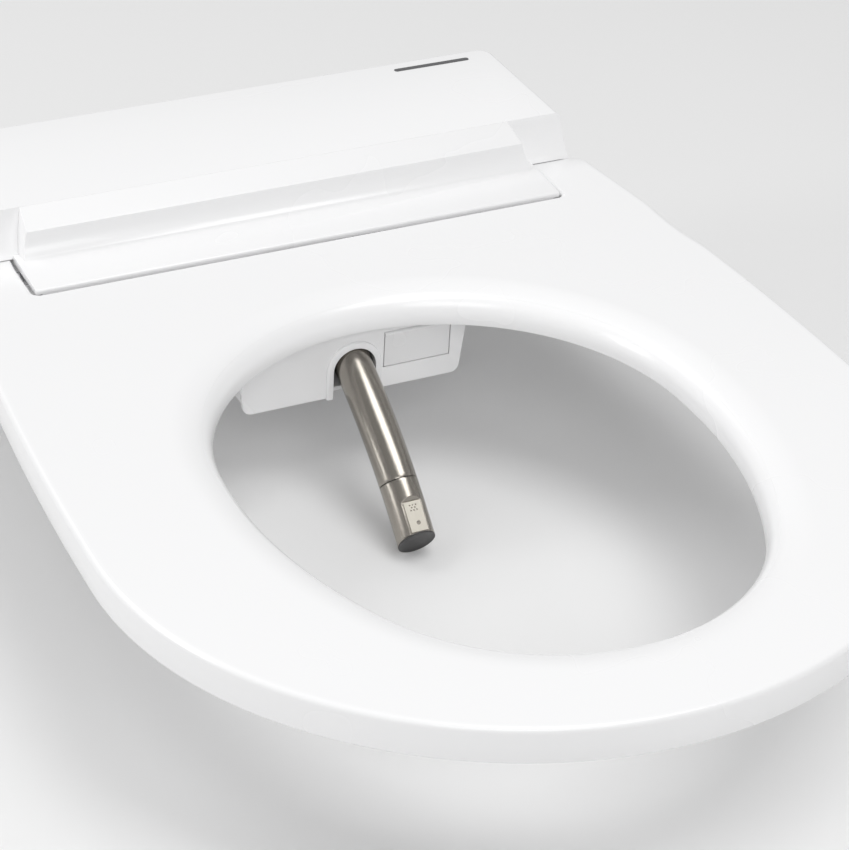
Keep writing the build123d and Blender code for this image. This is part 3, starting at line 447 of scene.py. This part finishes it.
class Skin:
    """Collects rings of points and the faces between them."""

    def __init__(self):
        self.points = []
        self.faces = []

    def ring(self, points):
        start = len(self.points)
        self.points.extend(points)
        return list(range(start, len(self.points)))

    def bridge(self, a, b):
        count = len(a)
        for i in range(count):
            j = (i + 1) % count
            self.faces.append((a[i], a[j], b[j], b[i]))

    def stack(self, rings):
        for a, b in zip(rings, rings[1:]):
            self.bridge(a, b)

    def fill_between(self, outer, inner, extra=()):
        """Triangles between two loops of point numbers, with more plan points (x, y, z) inside."""
        more = self.ring(list(extra))
        ids = list(outer) + list(inner) + more
        flat = [Vector(self.points[i][:2]) for i in ids]
        n, m = len(outer), len(inner)
        edges = [(i, (i + 1) % n) for i in range(n)] + [(n + i, n + (i + 1) % m) for i in range(m)]
        plan, _, faces, origins, _, _ = delaunay_2d_cdt(flat, edges, [], 0, 1e-6)
        out_loop = flat[:n]
        in_loop = flat[n:n + m]
        for face in faces:
            middle = sum((plan[i] for i in face), Vector((0, 0))) / len(face)
            if inside(middle, out_loop) and not inside(middle, in_loop):
                self.faces.append(tuple(ids[origins[i][0]] for i in face))


SHARP_ANGLE = 38.0
ROUNDING_STEPS = 3


def softened(node, width):
    """Copy of a moulded node with its sharp edges rounded; it stands for the node."""
    source = frame["nodes"][node]
    mesh = source.data.copy()
    mesh.name = node + "_soft"
    shape = bmesh.new()
    shape.from_mesh(mesh)
    bmesh.ops.remove_doubles(shape, verts=shape.verts, dist=2e-6)
    bmesh.ops.dissolve_limit(shape, angle_limit=math.radians(0.6), verts=shape.verts, edges=shape.edges)
    shape.to_mesh(mesh)
    shape.free()
    piece = bpy.data.objects.new(mesh.name, mesh)
    bpy.context.scene.collection.objects.link(piece)
    bevel = piece.modifiers.new("Rounding", "BEVEL")
    bevel.width = width
    bevel.segments = ROUNDING_STEPS
    bevel.limit_method = "ANGLE"
    bevel.angle_limit = math.radians(SHARP_ANGLE)
    bevel.miter_outer = "MITER_ARC"
    bevel.use_clamp_overlap = True
    bevel.harden_normals = False
    applied = bpy.data.meshes.new_from_object(piece.evaluated_get(bpy.context.evaluated_depsgraph_get()))
    bpy.data.objects.remove(piece)
    return finish_piece(mesh.name, applied, [node])


# ---------------------------------------------------------------- seat ring

FRONT_R, CORNER_R, SIDE_R, REAR_CORNER_R = 190.0, 166.0, 1580.0, 9.0
NOTCH_HALF, NOTCH_Y, NOTCH_R = 138.0, -63.4, 3.5
OPEN_HALF, OPEN_FRONT, OPEN_REAR = 110.5, -393.6, -123.8
OPEN_FRONT_R, OPEN_SIDE_R, OPEN_REAR_R = 99.2, 207.4, 110.0
WALL_THICK, OPEN_WALL, TOP_SKIN = 2.6, 5.0, 3.0
TUNNEL_HALF, TUNNEL_TOP = 19.6, 19.8
TOP_ROWS = (6.0, 4.8, 3.6)
REAR_TOP_EDGE = 0.7
REAR_FADE, REAR_FADE_START = 8.0, 9.0
REAR_FOOT_R = 5.0
NOZZLE_LIFT, NOZZLE_LIFT_REACH = 2.5, 10
GRIP_CORNER = (162.0, -160.0)
GRIP_STEP, GRIP_ROWS, GRIP_COLUMNS = 2.2, 48, 12
GRIP_MARGIN = 7.0


def ring_outline(low, high):
    """Closed plan of the ring with its rear notch, in millimetres."""
    half_width, front, rear = high.x / MM, low.y / MM, high.y / MM
    middle = front + FRONT_R
    side_x = half_width - CORNER_R
    drop = math.sqrt((FRONT_R - CORNER_R) ** 2 - side_x ** 2)
    side_y = middle - drop
    join = math.degrees(math.atan2(-drop, side_x))
    far_x = half_width - SIDE_R
    corner_y = rear - REAR_CORNER_R
    reach = SIDE_R - REAR_CORNER_R
    lift = math.degrees(math.asin((corner_y - side_y) / reach))
    corner_x = far_x + reach * math.cos(math.radians(lift))
    half = arc_points((0, middle), FRONT_R, -90, join, 44)
    half += arc_points((side_x, side_y), CORNER_R, join, 0, 34)[1:]
    half += arc_points((far_x, side_y), SIDE_R, 0, lift, 72)[1:]
    half += arc_points((corner_x, corner_y), REAR_CORNER_R, lift, 90, 10)[1:]
    half += [Vector((x, rear)) for x in (corner_x - 3, NOTCH_HALF + 9, NOTCH_HALF)]
    half += [Vector((NOTCH_HALF, y)) for y in (rear - 9, rear - 16, rear - 23)]
    half += arc_points((NOTCH_HALF - NOTCH_R, NOTCH_Y + NOTCH_R), NOTCH_R, 0, -90, 7)
    half += [Vector((x, NOTCH_Y)) for x in (120, 100, 80, 60, 40, 28, TUNNEL_HALF + 0.2, TUNNEL_HALF, 12, 0)]
    return closed_from_half(half)


def opening_outline():
    """Closed plan of the opening, in millimetres."""
    front_y = OPEN_FRONT + OPEN_FRONT_R
    side_x = OPEN_HALF - OPEN_SIDE_R
    rise = math.sqrt((OPEN_SIDE_R - OPEN_FRONT_R) ** 2 - side_x ** 2)
    wide_y = front_y + rise
    join = math.degrees(math.atan2(-rise, -side_x))
    rear_y = OPEN_REAR - OPEN_REAR_R
    gap = rear_y - wide_y
    back_r = (gap ** 2 / (OPEN_HALF - OPEN_REAR_R) + OPEN_REAR_R + OPEN_HALF) / 2
    back_x = OPEN_HALF - back_r
    meet = math.degrees(math.atan2(gap, -back_x))
    half = arc_points((0, front_y), OPEN_FRONT_R, -90, join, 40)
    half += arc_points((side_x, wide_y), OPEN_SIDE_R, join, 0, 30)[1:]
    half += arc_points((back_x, wide_y), back_r, 0, meet, 6)[1:]
    half += arc_points((0, rear_y), OPEN_REAR_R, meet, 90, 52)[1:]
    return closed_from_half(half)


SCALLOP_CENTRE = (186.2, -107.0)
SCALLOP_TURN = 4.6
SCALLOP_HALF = (13.4, 44.0)


def scallop_drop(x, y, depth):
    """How far the finger grip lowers the ring at a plan point."""
    turn = math.radians(SCALLOP_TURN)
    dx, dy = x - SCALLOP_CENTRE[0], y - SCALLOP_CENTRE[1]
    across = dx * math.cos(turn) + dy * math.sin(turn)
    along = dy * math.cos(turn) - dx * math.sin(turn)
    share = 1.0 - (across / SCALLOP_HALF[0]) ** 2 - (along / SCALLOP_HALF[1]) ** 2
    return depth * share ** 1.35 if share > 0 else 0.0


def seat_ring_mesh(low, high):
    """Ring with a soft slope into the opening, rounded rims, a finger grip and a hollow underside."""
    size = sizes()
    top, bottom = high.z / MM, low.z / MM
    outline = ring_outline(low, high)
    steps = inward_steps(outline)
    opening = opening_outline()
    out_steps = [-s for s in inward_steps(opening)]
    edge = size.top_edge / MM
    foot = size.low_edge / MM
    depth = size.scallop_depth / MM
    rear = high.y / MM
    skin = Skin()

    def outer_ring(inset, height, floor=False, rounding=False):
        points = []
        for p, step in zip(outline, steps):
            beside_notch = abs(p.x) > NOTCH_HALF - 0.5
            at_rear = min(1.0, max(0.0, (p.y - rear + REAR_FADE_START) / REAR_FADE)) if beside_notch else 0.0
            local = edge + (REAR_TOP_EDGE - edge) * at_rear
            q = p + step * (local * inset if rounding else inset)
            z = top - local * height if rounding else height
            on_rear = p.y > rear - 3.0 and beside_notch
            in_tunnel = abs(p.y - NOTCH_Y) < 0.01 and abs(p.x) <= TUNNEL_HALF + 0.01
            if floor and on_rear:
                z = max(z, bottom + REAR_FOOT_R - math.sqrt(REAR_FOOT_R ** 2 - (REAR_FOOT_R - inset) ** 2))
            if floor and in_tunnel:
                z = max(z, TUNNEL_TOP)
            if rounding or height > top - TOP_ROWS[0]:
                z -= scallop_drop(q.x, q.y, depth)
            points.append((q.x, q.y, z))
        return skin.ring(points)

    rings = [outer_ring(inset, top) for inset in TOP_ROWS]
    for angle in (90, 72, 54, 36, 18, 0):
        turn = math.radians(angle)
        rings.append(outer_ring(1 - math.cos(turn), 1 - math.sin(turn), rounding=True))
    rings.append(outer_ring(0.0, (top + bottom) / 2 - 1, True))
    for angle in (0, 30, 60, 90):
        turn = math.radians(angle)
        rings.append(outer_ring(foot * (1 - math.cos(turn)), bottom + foot * (1 - math.sin(turn)), True))
    rings.append(outer_ring(WALL_THICK, bottom, True))
    rings.append(outer_ring(WALL_THICK, top - TOP_SKIN - 0.001))
    skin.stack(rings)

    width = size.dish_width / MM
    fall = size.dish_drop / MM
    lip = size.lip_round / MM
    tilt = 2 * fall / (width - lip)
    lean = math.atan(tilt)
    radius = lip / (1 - math.sin(lean))
    centre_z = top - fall - radius * math.cos(lean)

    def inner_ring(outset, height, nozzle_room=0.0):
        points = []
        for q in shifted(opening, out_steps, outset):
            over_nozzle = abs(q.x) < TUNNEL_HALF and q.y > OPEN_REAR - NOZZLE_LIFT_REACH
            points.append((q.x, q.y, height + nozzle_room * over_nozzle))
        return skin.ring(points)

    inner = []
    for i in range(9):
        outset = width - (width - lip) * i / 8
        share = (width - outset) / (width - lip)
        inner.append(inner_ring(outset, top - fall * share ** 2))
    for i in range(1, 9):
        turn = lean + (math.pi / 2 - lean) * i / 8
        inner.append(inner_ring(radius * (1 - math.sin(turn)), centre_z + radius * math.cos(turn)))
    for angle in (0, 45, 90):
        turn = math.radians(angle)
        inner.append(inner_ring(foot * (1 - math.cos(turn)), bottom + foot * (1 - math.sin(turn))))
    inner.append(inner_ring(OPEN_WALL, bottom, NOZZLE_LIFT))
    inner.append(inner_ring(OPEN_WALL, top - TOP_SKIN - 0.001))
    skin.stack(inner)

    grip = []
    reach = shifted(outline, steps, GRIP_MARGIN)
    for i in range(GRIP_COLUMNS):
        for j in range(GRIP_ROWS):
            x, y = GRIP_CORNER[0] + GRIP_STEP * i, GRIP_CORNER[1] + GRIP_STEP * j
            if inside((x, y), reach):
                grip.append((x, y, top - scallop_drop(x, y, depth)))
    skin.fill_between(rings[0], inner[0], grip)
    skin.fill_between(rings[-1], inner[-1])
    return mesh_from("seat_ring", skin.points, skin.faces)


class BIDETSEAT_OT_ring(bpy.types.Operator):
    """Build the seat ring with its soft slope, rounded rims and finger grip"""
    bl_idname = "bidet_seat.ring"
    bl_label = "Seat ring"

    def execute(self, context):
        low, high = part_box("seat_top_shell")
        finish_piece("seat_ring", seat_ring_mesh(low, high), ["seat_top_shell"], smooth_angle=40.0)
        return {"FINISHED"}


# ---------------------------------------------------------------- housing, covers and fascia

class BIDETSEAT_OT_housing(bpy.types.Operator):
    """Round the edges of the housing, the hinge cover, the release button and the plain inlay"""
    bl_idname = "bidet_seat.housing"
    bl_label = "Housing and hinge cover"

    def execute(self, context):
        size = sizes()
        softened("top_cover", size.shell_edge)
        softened("hinge_cover", size.cover_edge)
        softened("base_pan", size.shell_edge)
        softened("release_button", size.shell_edge * 0.5)
        softened("badge_inlay", 0.00008)
        return {"FINISHED"}


class BIDETSEAT_OT_fascia(bpy.types.Operator):
    """Round the edges of the nozzle fascia, its port ring, the dryer flap and the tray"""
    bl_idname = "bidet_seat.fascia"
    bl_label = "Nozzle fascia"

    def execute(self, context):
        edge = sizes().shell_edge
        softened("nozzle_fascia", edge * 0.5)
        softened("nozzle_port_ring", edge * 0.5)
        softened("dryer_flap", edge * 0.4)
        softened("nozzle_tray", edge)
        return {"FINISHED"}


# ---------------------------------------------------------------- nozzle

def arc_centre():
    """Centre of the nozzle's arc, from the joint that carries the nozzle."""
    for joint in frame["joints"]:
        if joint["name"] == "nozzle_travel":
            return Vector(joint["pos_m"]) / MM
    raise ValueError("no nozzle joint")


# Radii, the cap and the flat's depth are in millimetres; places along the arc and END_FACE in degrees.
# PAD_RAMP is how fast the flat rises towards the tube, in millimetres for each degree.
ARC_R = 300.0
TUBE_R = 9.15
BORE_R = 8.0
TIP_BORE_R = 6.8
TAIL, SEAM, END = 24.0, 38.2, 43.75
CORE = (39.4, 42.0)
END_FACE = 28.0
CAP_THICK = 0.6
CAP_GAP = 0.05
PIN_HOLE = 0.01
PAD_START = 40.35
PAD_FLOOR = 7.6
PAD_RAMP = 3.864


def around(sections):
    """Evenly spaced angles round the tube, measured from its outer side."""
    return [360.0 * i / sections for i in range(sections)]


def bent_point(centre, degrees, x, outward):
    """Point in millimetres at a place in the tube's cross-section, at an angle along the arc."""
    turn = math.radians(degrees)
    reach = ARC_R + outward
    return (x, centre.y - reach * math.sin(turn), centre.z + reach * math.cos(turn))


def bent_skin(name, profile, angles, shape=None):
    """Surface turned round the bent centreline; profile holds (degrees along, radius) pairs.
    shape may move a point along the arc and outward. UVs run along the tube and round it."""
    centre = arc_centre()
    skin = Skin()
    rings = []
    for degrees, radius in profile:
        points = []
        for angle in angles:
            turn = math.radians(angle)
            x, outward, place = radius * math.sin(turn), radius * math.cos(turn), degrees
            if shape:
                place, outward = shape(degrees, outward, radius)
            points.append(bent_point(centre, place, x, outward))
        rings.append(skin.ring(points))
    skin.stack(rings)
    mesh = bpy.data.meshes.new(name)
    mesh.from_pydata([Vector(p) * MM for p in skin.points], [], skin.faces)
    uv = mesh.uv_layers.new(name="UVMap")
    count = len(angles)
    loop = 0
    for i in range(len(profile) - 1):
        for j in range(count):
            ahead = angles[(j + 1) % count] or 360.0
            ends = [(profile[i][0], angles[j]), (profile[i][0], ahead),
                    (profile[i + 1][0], ahead), (profile[i + 1][0], angles[j])]
            for degrees, angle in ends:
                uv.data[loop].uv = (math.radians(degrees) * ARC_R * MM * 10, angle / 360.0)
                loop += 1
    shape_mesh = bmesh.new()
    shape_mesh.from_mesh(mesh)
    bmesh.ops.remove_doubles(shape_mesh, verts=shape_mesh.verts, dist=1e-8)
    bmesh.ops.recalc_face_normals(shape_mesh, faces=shape_mesh.faces)
    shape_mesh.to_mesh(mesh)
    shape_mesh.free()
    return mesh


def steps_between(start, end, count):
    return [start + (end - start) * i / count for i in range(count + 1)]


def nozzle_tube_mesh():
    """Thin-walled bent tube with a small step at its seam."""
    groove = math.degrees(sizes().seam_groove / MM / ARC_R)
    end = SEAM - groove / 2
    profile = [(TAIL + 0.05, BORE_R), (TAIL + 0.02, TUBE_R - 0.2), (TAIL + 0.06, TUBE_R)]
    profile += [(d, TUBE_R) for d in steps_between(TAIL + 0.4, end - 0.04, 48)]
    profile += [(end - 0.01, TUBE_R - 0.04), (end, TUBE_R - 0.12), (end, BORE_R)]
    profile += [(d, BORE_R) for d in steps_between(end - 0.3, TAIL + 0.4, 24)]
    profile.append(profile[0])
    return bent_skin("nozzle_tube_brushed", profile, around(96))


def end_degrees(back, outward):
    """Angle along the arc where a point of the cross-section meets a plane behind the end face."""
    reach = ARC_R * math.sin(math.radians(END - END_FACE)) - back
    return END_FACE + math.degrees(math.asin(reach / (ARC_R + outward)))


def cap_shape(back, outward, radius):
    """Puts a point of the cap on a plane parallel to the end face; its profile counts millimetres back."""
    return end_degrees(back, outward), outward


def tip_shape(degrees, outward, radius):
    """Cuts the flat with its ramp into the tip's outer side, and slants the tip's end."""
    if radius > BORE_R + 0.5:
        outward = min(outward, PAD_FLOOR + max(0.0, PAD_START - degrees) * PAD_RAMP)
    if degrees > CORE[1]:
        share = (degrees - CORE[1]) / (END - CORE[1])
        degrees += share * (end_degrees(CAP_THICK + CAP_GAP, outward) - END)
    return degrees, outward


def nozzle_tip_mesh():
    groove = math.degrees(sizes().seam_groove / MM / ARC_R)
    start = SEAM + groove / 2
    profile = [(start, BORE_R), (start, TUBE_R - 0.12), (start + 0.01, TUBE_R - 0.04), (start + 0.05, TUBE_R)]
    profile += [(d, TUBE_R) for d in steps_between(start + 0.3, PAD_START - 0.5, 10)]
    profile += [(d, TUBE_R) for d in steps_between(PAD_START - 0.44, PAD_START, 44)]
    profile += [(d, TUBE_R) for d in steps_between(PAD_START + 0.2, END - 0.06, 24)]
    profile += [(END - 0.02, TUBE_R - 0.05), (END, TUBE_R - 0.14), (END, TIP_BORE_R), (END - 0.3, TIP_BORE_R)]
    profile += [(CORE[1], TIP_BORE_R), (CORE[1], PIN_HOLE), (CORE[0], PIN_HOLE), (CORE[0], BORE_R)]
    profile.append((start + 0.2, BORE_R))
    profile.append(profile[0])
    dense = [angle % 360.0 for angle in steps_between(-34.0, 34.0, 68)]
    angles = dense[34:] + steps_between(36.5, 323.5, 82) + dense[:34]
    return bent_skin("nozzle_tip_brushed", profile, angles, tip_shape)


def end_cap_mesh():
    """Dark disc on the slanted end, with a fine raised rim and a slightly sunk face."""
    rim = TUBE_R - 0.02
    profile = [(2.0, PIN_HOLE), (2.0, TIP_BORE_R - 0.1), (CAP_THICK, TIP_BORE_R - 0.1),
               (CAP_THICK, rim - 0.12), (CAP_THICK - 0.08, rim), (0.2, rim), (0.06, rim - 0.06),
               (0.0, rim - 0.25), (0.0, rim - 0.55),
               (0.12, rim - 0.75), (0.14, 4.0), (0.14, PIN_HOLE), (2.0, PIN_HOLE)]
    return bent_skin("nozzle_cap_dark", profile, around(96), cap_shape)


class BIDETSEAT_OT_nozzle(bpy.types.Operator):
    """Build the bent steel nozzle with its tip and dark end cap"""
    bl_idname = "bidet_seat.nozzle"
    bl_label = "Spray nozzle"

    def execute(self, context):
        finish_piece("nozzle_tube_brushed", nozzle_tube_mesh(), ["nozzle_tube"], smooth_angle=42.0)
        finish_piece("nozzle_tip_brushed", nozzle_tip_mesh(), ["nozzle_tip"], smooth_angle=24.0)
        finish_piece("nozzle_cap_dark", end_cap_mesh(), ["nozzle_end_cap"], smooth_angle=42.0)
        return {"FINISHED"}


# ---------------------------------------------------------------- fixings and the other frame nodes

BOLT_HEAD_R, BOLT_HEAD_DEEP = 7.5, 1.8
THREAD_R, THREAD_PITCH, THREAD_DEPTH = 3.9, 1.25, 0.55


def threaded_shaft(skin, x, top, bottom):
    """Screw thread as a stack of rings whose radius follows the helix, closed at both ends."""
    rings = []
    sections = 32
    count = int((top - bottom) / (THREAD_PITCH / 8))
    for i in range(count + 1):
        z = top + (bottom - top) * i / count
        fade = min(1.0, (z - bottom) / 1.5)
        points = []
        for j in range(sections):
            turn = 2 * math.pi * j / sections
            phase = (z / THREAD_PITCH - j / sections) % 1.0
            r = THREAD_R - THREAD_DEPTH * (abs(2 * phase - 1) + 1.2 * (1 - fade))
            points.append((x + r * math.cos(turn), r * math.sin(turn), z))
        rings.append(skin.ring(points))
    skin.stack(rings)
    skin.faces.append(tuple(rings[0]))
    skin.faces.append(tuple(rings[-1]))


def lathe(skin, x, profile, sections=48):
    """Turned shape about a vertical axis; profile holds (radius, z) pairs from top to bottom."""
    rings = []
    for radius, z in profile:
        points = [(x + radius * math.cos(2 * math.pi * j / sections),
                   radius * math.sin(2 * math.pi * j / sections), z) for j in range(sections)]
        rings.append(skin.ring(points))
    skin.stack(rings)
    skin.faces.append(tuple(rings[0]))
    skin.faces.append(tuple(rings[-1]))


class BIDETSEAT_OT_fixings(bpy.types.Operator):
    """Build the threaded bowl bolts"""
    bl_idname = "bidet_seat.fixings"
    bl_label = "Bowl bolts"

    def execute(self, context):
        low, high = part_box("fixing_bolts")
        head = BOLT_HEAD_R
        x = high.x / MM - head
        top, bottom = high.z / MM, low.z / MM
        skin = Skin()
        for side in (-x, x):
            lathe(skin, side, [(2.6, top - 0.6), (2.9, top - 0.05), (3.1, top), (head - 0.5, top),
                               (head - 0.12, top - 0.15), (head, top - 0.5), (head, top - 1.5),
                               (head - 0.3, top - BOLT_HEAD_DEEP), (3.7, top - BOLT_HEAD_DEEP)])
            threaded_shaft(skin, side, top - BOLT_HEAD_DEEP, bottom)
        finish_piece("bowl_bolts", mesh_from("bowl_bolts", skin.points, skin.faces), ["fixing_bolts"])
        return {"FINISHED"}


class BIDETSEAT_OT_springs(bpy.types.Operator):
    """Copy the button's spring and the valve's spring as pieces that ride their bodies"""
    bl_idname = "bidet_seat.springs"
    bl_label = "Springs"

    def execute(self, context):
        for node, joint, way, fixed_end in (("release_spring", "release_press", 0, 0),
                                            ("plunger_spring", "plunger_lift", 2, 1)):
            box = [Vector(corner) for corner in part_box(node)]
            anchor = (box[0] + box[1]) / 2
            anchor[way] = box[fixed_end][way]
            wire = finish_piece(node + "_coil", frame["nodes"][node].data.copy(), [node])
            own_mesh(wire)
        return {"FINISHED"}


class BIDETSEAT_OT_frame_finishes(bpy.types.Operator):
    """Give every frame node that still shows its own finish"""
    bl_idname = "bidet_seat.frame_finishes"
    bl_label = "Frame finishes"

    def execute(self, context):
        for name, node in frame["nodes"].items():
            if node.hide_render:
                continue
            material = slot_material(slot_of(name))
            node.data.materials.clear()
            node.data.materials.append(material)
        return {"FINISHED"}


# ---------------------------------------------------------------- stage

CAMERA_TARGET = (-0.01822, -0.22874, 0.024)
CAMERA_TURN, CAMERA_RISE, CAMERA_ROLL = -27.405, 32.733, -3.253
CAMERA_DISTANCE = 1.20099
LENS, SENSOR = 117.8, 36.0


def place_camera():
    turn, rise = math.radians(CAMERA_TURN), math.radians(CAMERA_RISE)
    back = Vector((math.sin(turn) * math.cos(rise), -math.cos(turn) * math.cos(rise), math.sin(rise)))
    flat_right = (-back).cross(Vector((0, 0, 1))).normalized()
    down = (-back).cross(flat_right)
    roll = math.radians(CAMERA_ROLL)
    right = flat_right * math.cos(roll) + down * math.sin(roll)
    up = flat_right * math.sin(roll) - down * math.cos(roll)
    data = bpy.data.cameras.new("view")
    data.lens = LENS
    data.sensor_width = SENSOR
    data.clip_start = 0.05
    data.clip_end = 60.0
    camera = bpy.data.objects.new("view", data)
    bpy.context.scene.collection.objects.link(camera)
    turn_matrix = Matrix((right, up, back)).transposed().to_4x4()
    turn_matrix.translation = Vector(CAMERA_TARGET) + back * CAMERA_DISTANCE
    camera.matrix_world = turn_matrix
    bpy.context.scene.camera = camera


# Name, place, the point it faces, its two sides and its power.
LIGHTS = (
    ("key", (-1.3, 1.5, 2.2), (0, -0.15, 0), (1.6, 1.1), 19.0),
    ("overhead", (0.4, -0.75, 2.2), (0, -0.2, 0), (1.1, 1.4), 20.0),
    ("left", (-2.3, 0.3, 0.85), (0, -0.2, 0), (0.8, 1.0), 12.0),
    ("front", (-0.6, -2.4, 1.9), (0, -0.2, 0), (1.8, 1.0), 18.0),
)
WORLD_STRENGTH = 0.42
FLOOR_HALF = 6


def area_light(name, place, aim, size, power):
    data = bpy.data.lights.new(name, "AREA")
    data.shape = "RECTANGLE"
    data.size, data.size_y = size
    data.energy = power
    light = bpy.data.objects.new(name, data)
    bpy.context.scene.collection.objects.link(light)
    light.location = place
    light.rotation_euler = (Vector(aim) - Vector(place)).to_track_quat("-Z", "Y").to_euler()


class BIDETSEAT_OT_stage(bpy.types.Operator):
    """Build the pale floor, the soft lights and the camera"""
    bl_idname = "bidet_seat.stage"
    bl_label = "Stage"

    def execute(self, context):
        level = CAD_BOX[0][2]
        mesh = bpy.data.meshes.new("floor")
        corners = [(x * FLOOR_HALF, y * FLOOR_HALF, level) for x, y in ((-1, -1), (1, -1), (1, 1), (-1, 1))]
        mesh.from_pydata(corners, [], [(0, 1, 2, 3)])
        floor = bpy.data.objects.new("floor", mesh)
        bpy.context.scene.collection.objects.link(floor)
        mesh.materials.append(moulded("Floor", finishes().floor, 0.6, 60.0, 0.00001, 0.04))
        world = bpy.data.worlds.new("studio")
        world.use_nodes = True
        world.node_tree.nodes["Background"].inputs["Color"].default_value = (1.0, 1.0, 1.0, 1.0)
        world.node_tree.nodes["Background"].inputs["Strength"].default_value = WORLD_STRENGTH
        bpy.context.scene.world = world
        bpy.context.scene.view_settings.view_transform = "Standard"
        for light in LIGHTS:
            area_light(*light)
        place_camera()
        return {"FINISHED"}


# ---------------------------------------------------------------- panel and registration

OPERATORS = (BIDETSEAT_OT_stage, BIDETSEAT_OT_ring, BIDETSEAT_OT_housing, BIDETSEAT_OT_fascia,
             BIDETSEAT_OT_nozzle, BIDETSEAT_OT_fixings, BIDETSEAT_OT_springs, BIDETSEAT_OT_frame_finishes)


class BIDETSEAT_PT_panel(bpy.types.Panel):
    """Sizes, finishes and builders of the bidet seat"""
    bl_idname = "BIDETSEAT_PT_panel"
    bl_label = "Bidet seat"
    bl_space_type = "VIEW_3D"
    bl_region_type = "UI"
    bl_category = "Bidet seat"

    def draw(self, context):
        column = self.layout.column()
        for settings in (context.scene.bidet_seat_sizes, context.scene.bidet_seat_finishes):
            for name in settings.__annotations__:
                column.prop(settings, name)
        for operator in OPERATORS:
            column.operator(operator.bl_idname)


CLASSES = (BidetSeatSizes, BidetSeatFinishes, *OPERATORS, BIDETSEAT_PT_panel)


def register():
    for cls in CLASSES:
        bpy.utils.register_class(cls)
    bpy.types.Scene.bidet_seat_sizes = bpy.props.PointerProperty(type=BidetSeatSizes)
    bpy.types.Scene.bidet_seat_finishes = bpy.props.PointerProperty(type=BidetSeatFinishes)


def unregister():
    del bpy.types.Scene.bidet_seat_sizes
    del bpy.types.Scene.bidet_seat_finishes
    for cls in reversed(CLASSES):
        bpy.utils.unregister_class(cls)


def main():
    register()
    bpy.ops.bidet_seat.stage()
    bpy.ops.bidet_seat.ring()
    bpy.ops.bidet_seat.housing()
    bpy.ops.bidet_seat.fascia()
    bpy.ops.bidet_seat.nozzle()
    bpy.ops.bidet_seat.fixings()
    bpy.ops.bidet_seat.springs()
    bpy.ops.bidet_seat.frame_finishes()


if __name__ == "__main__":
    main()
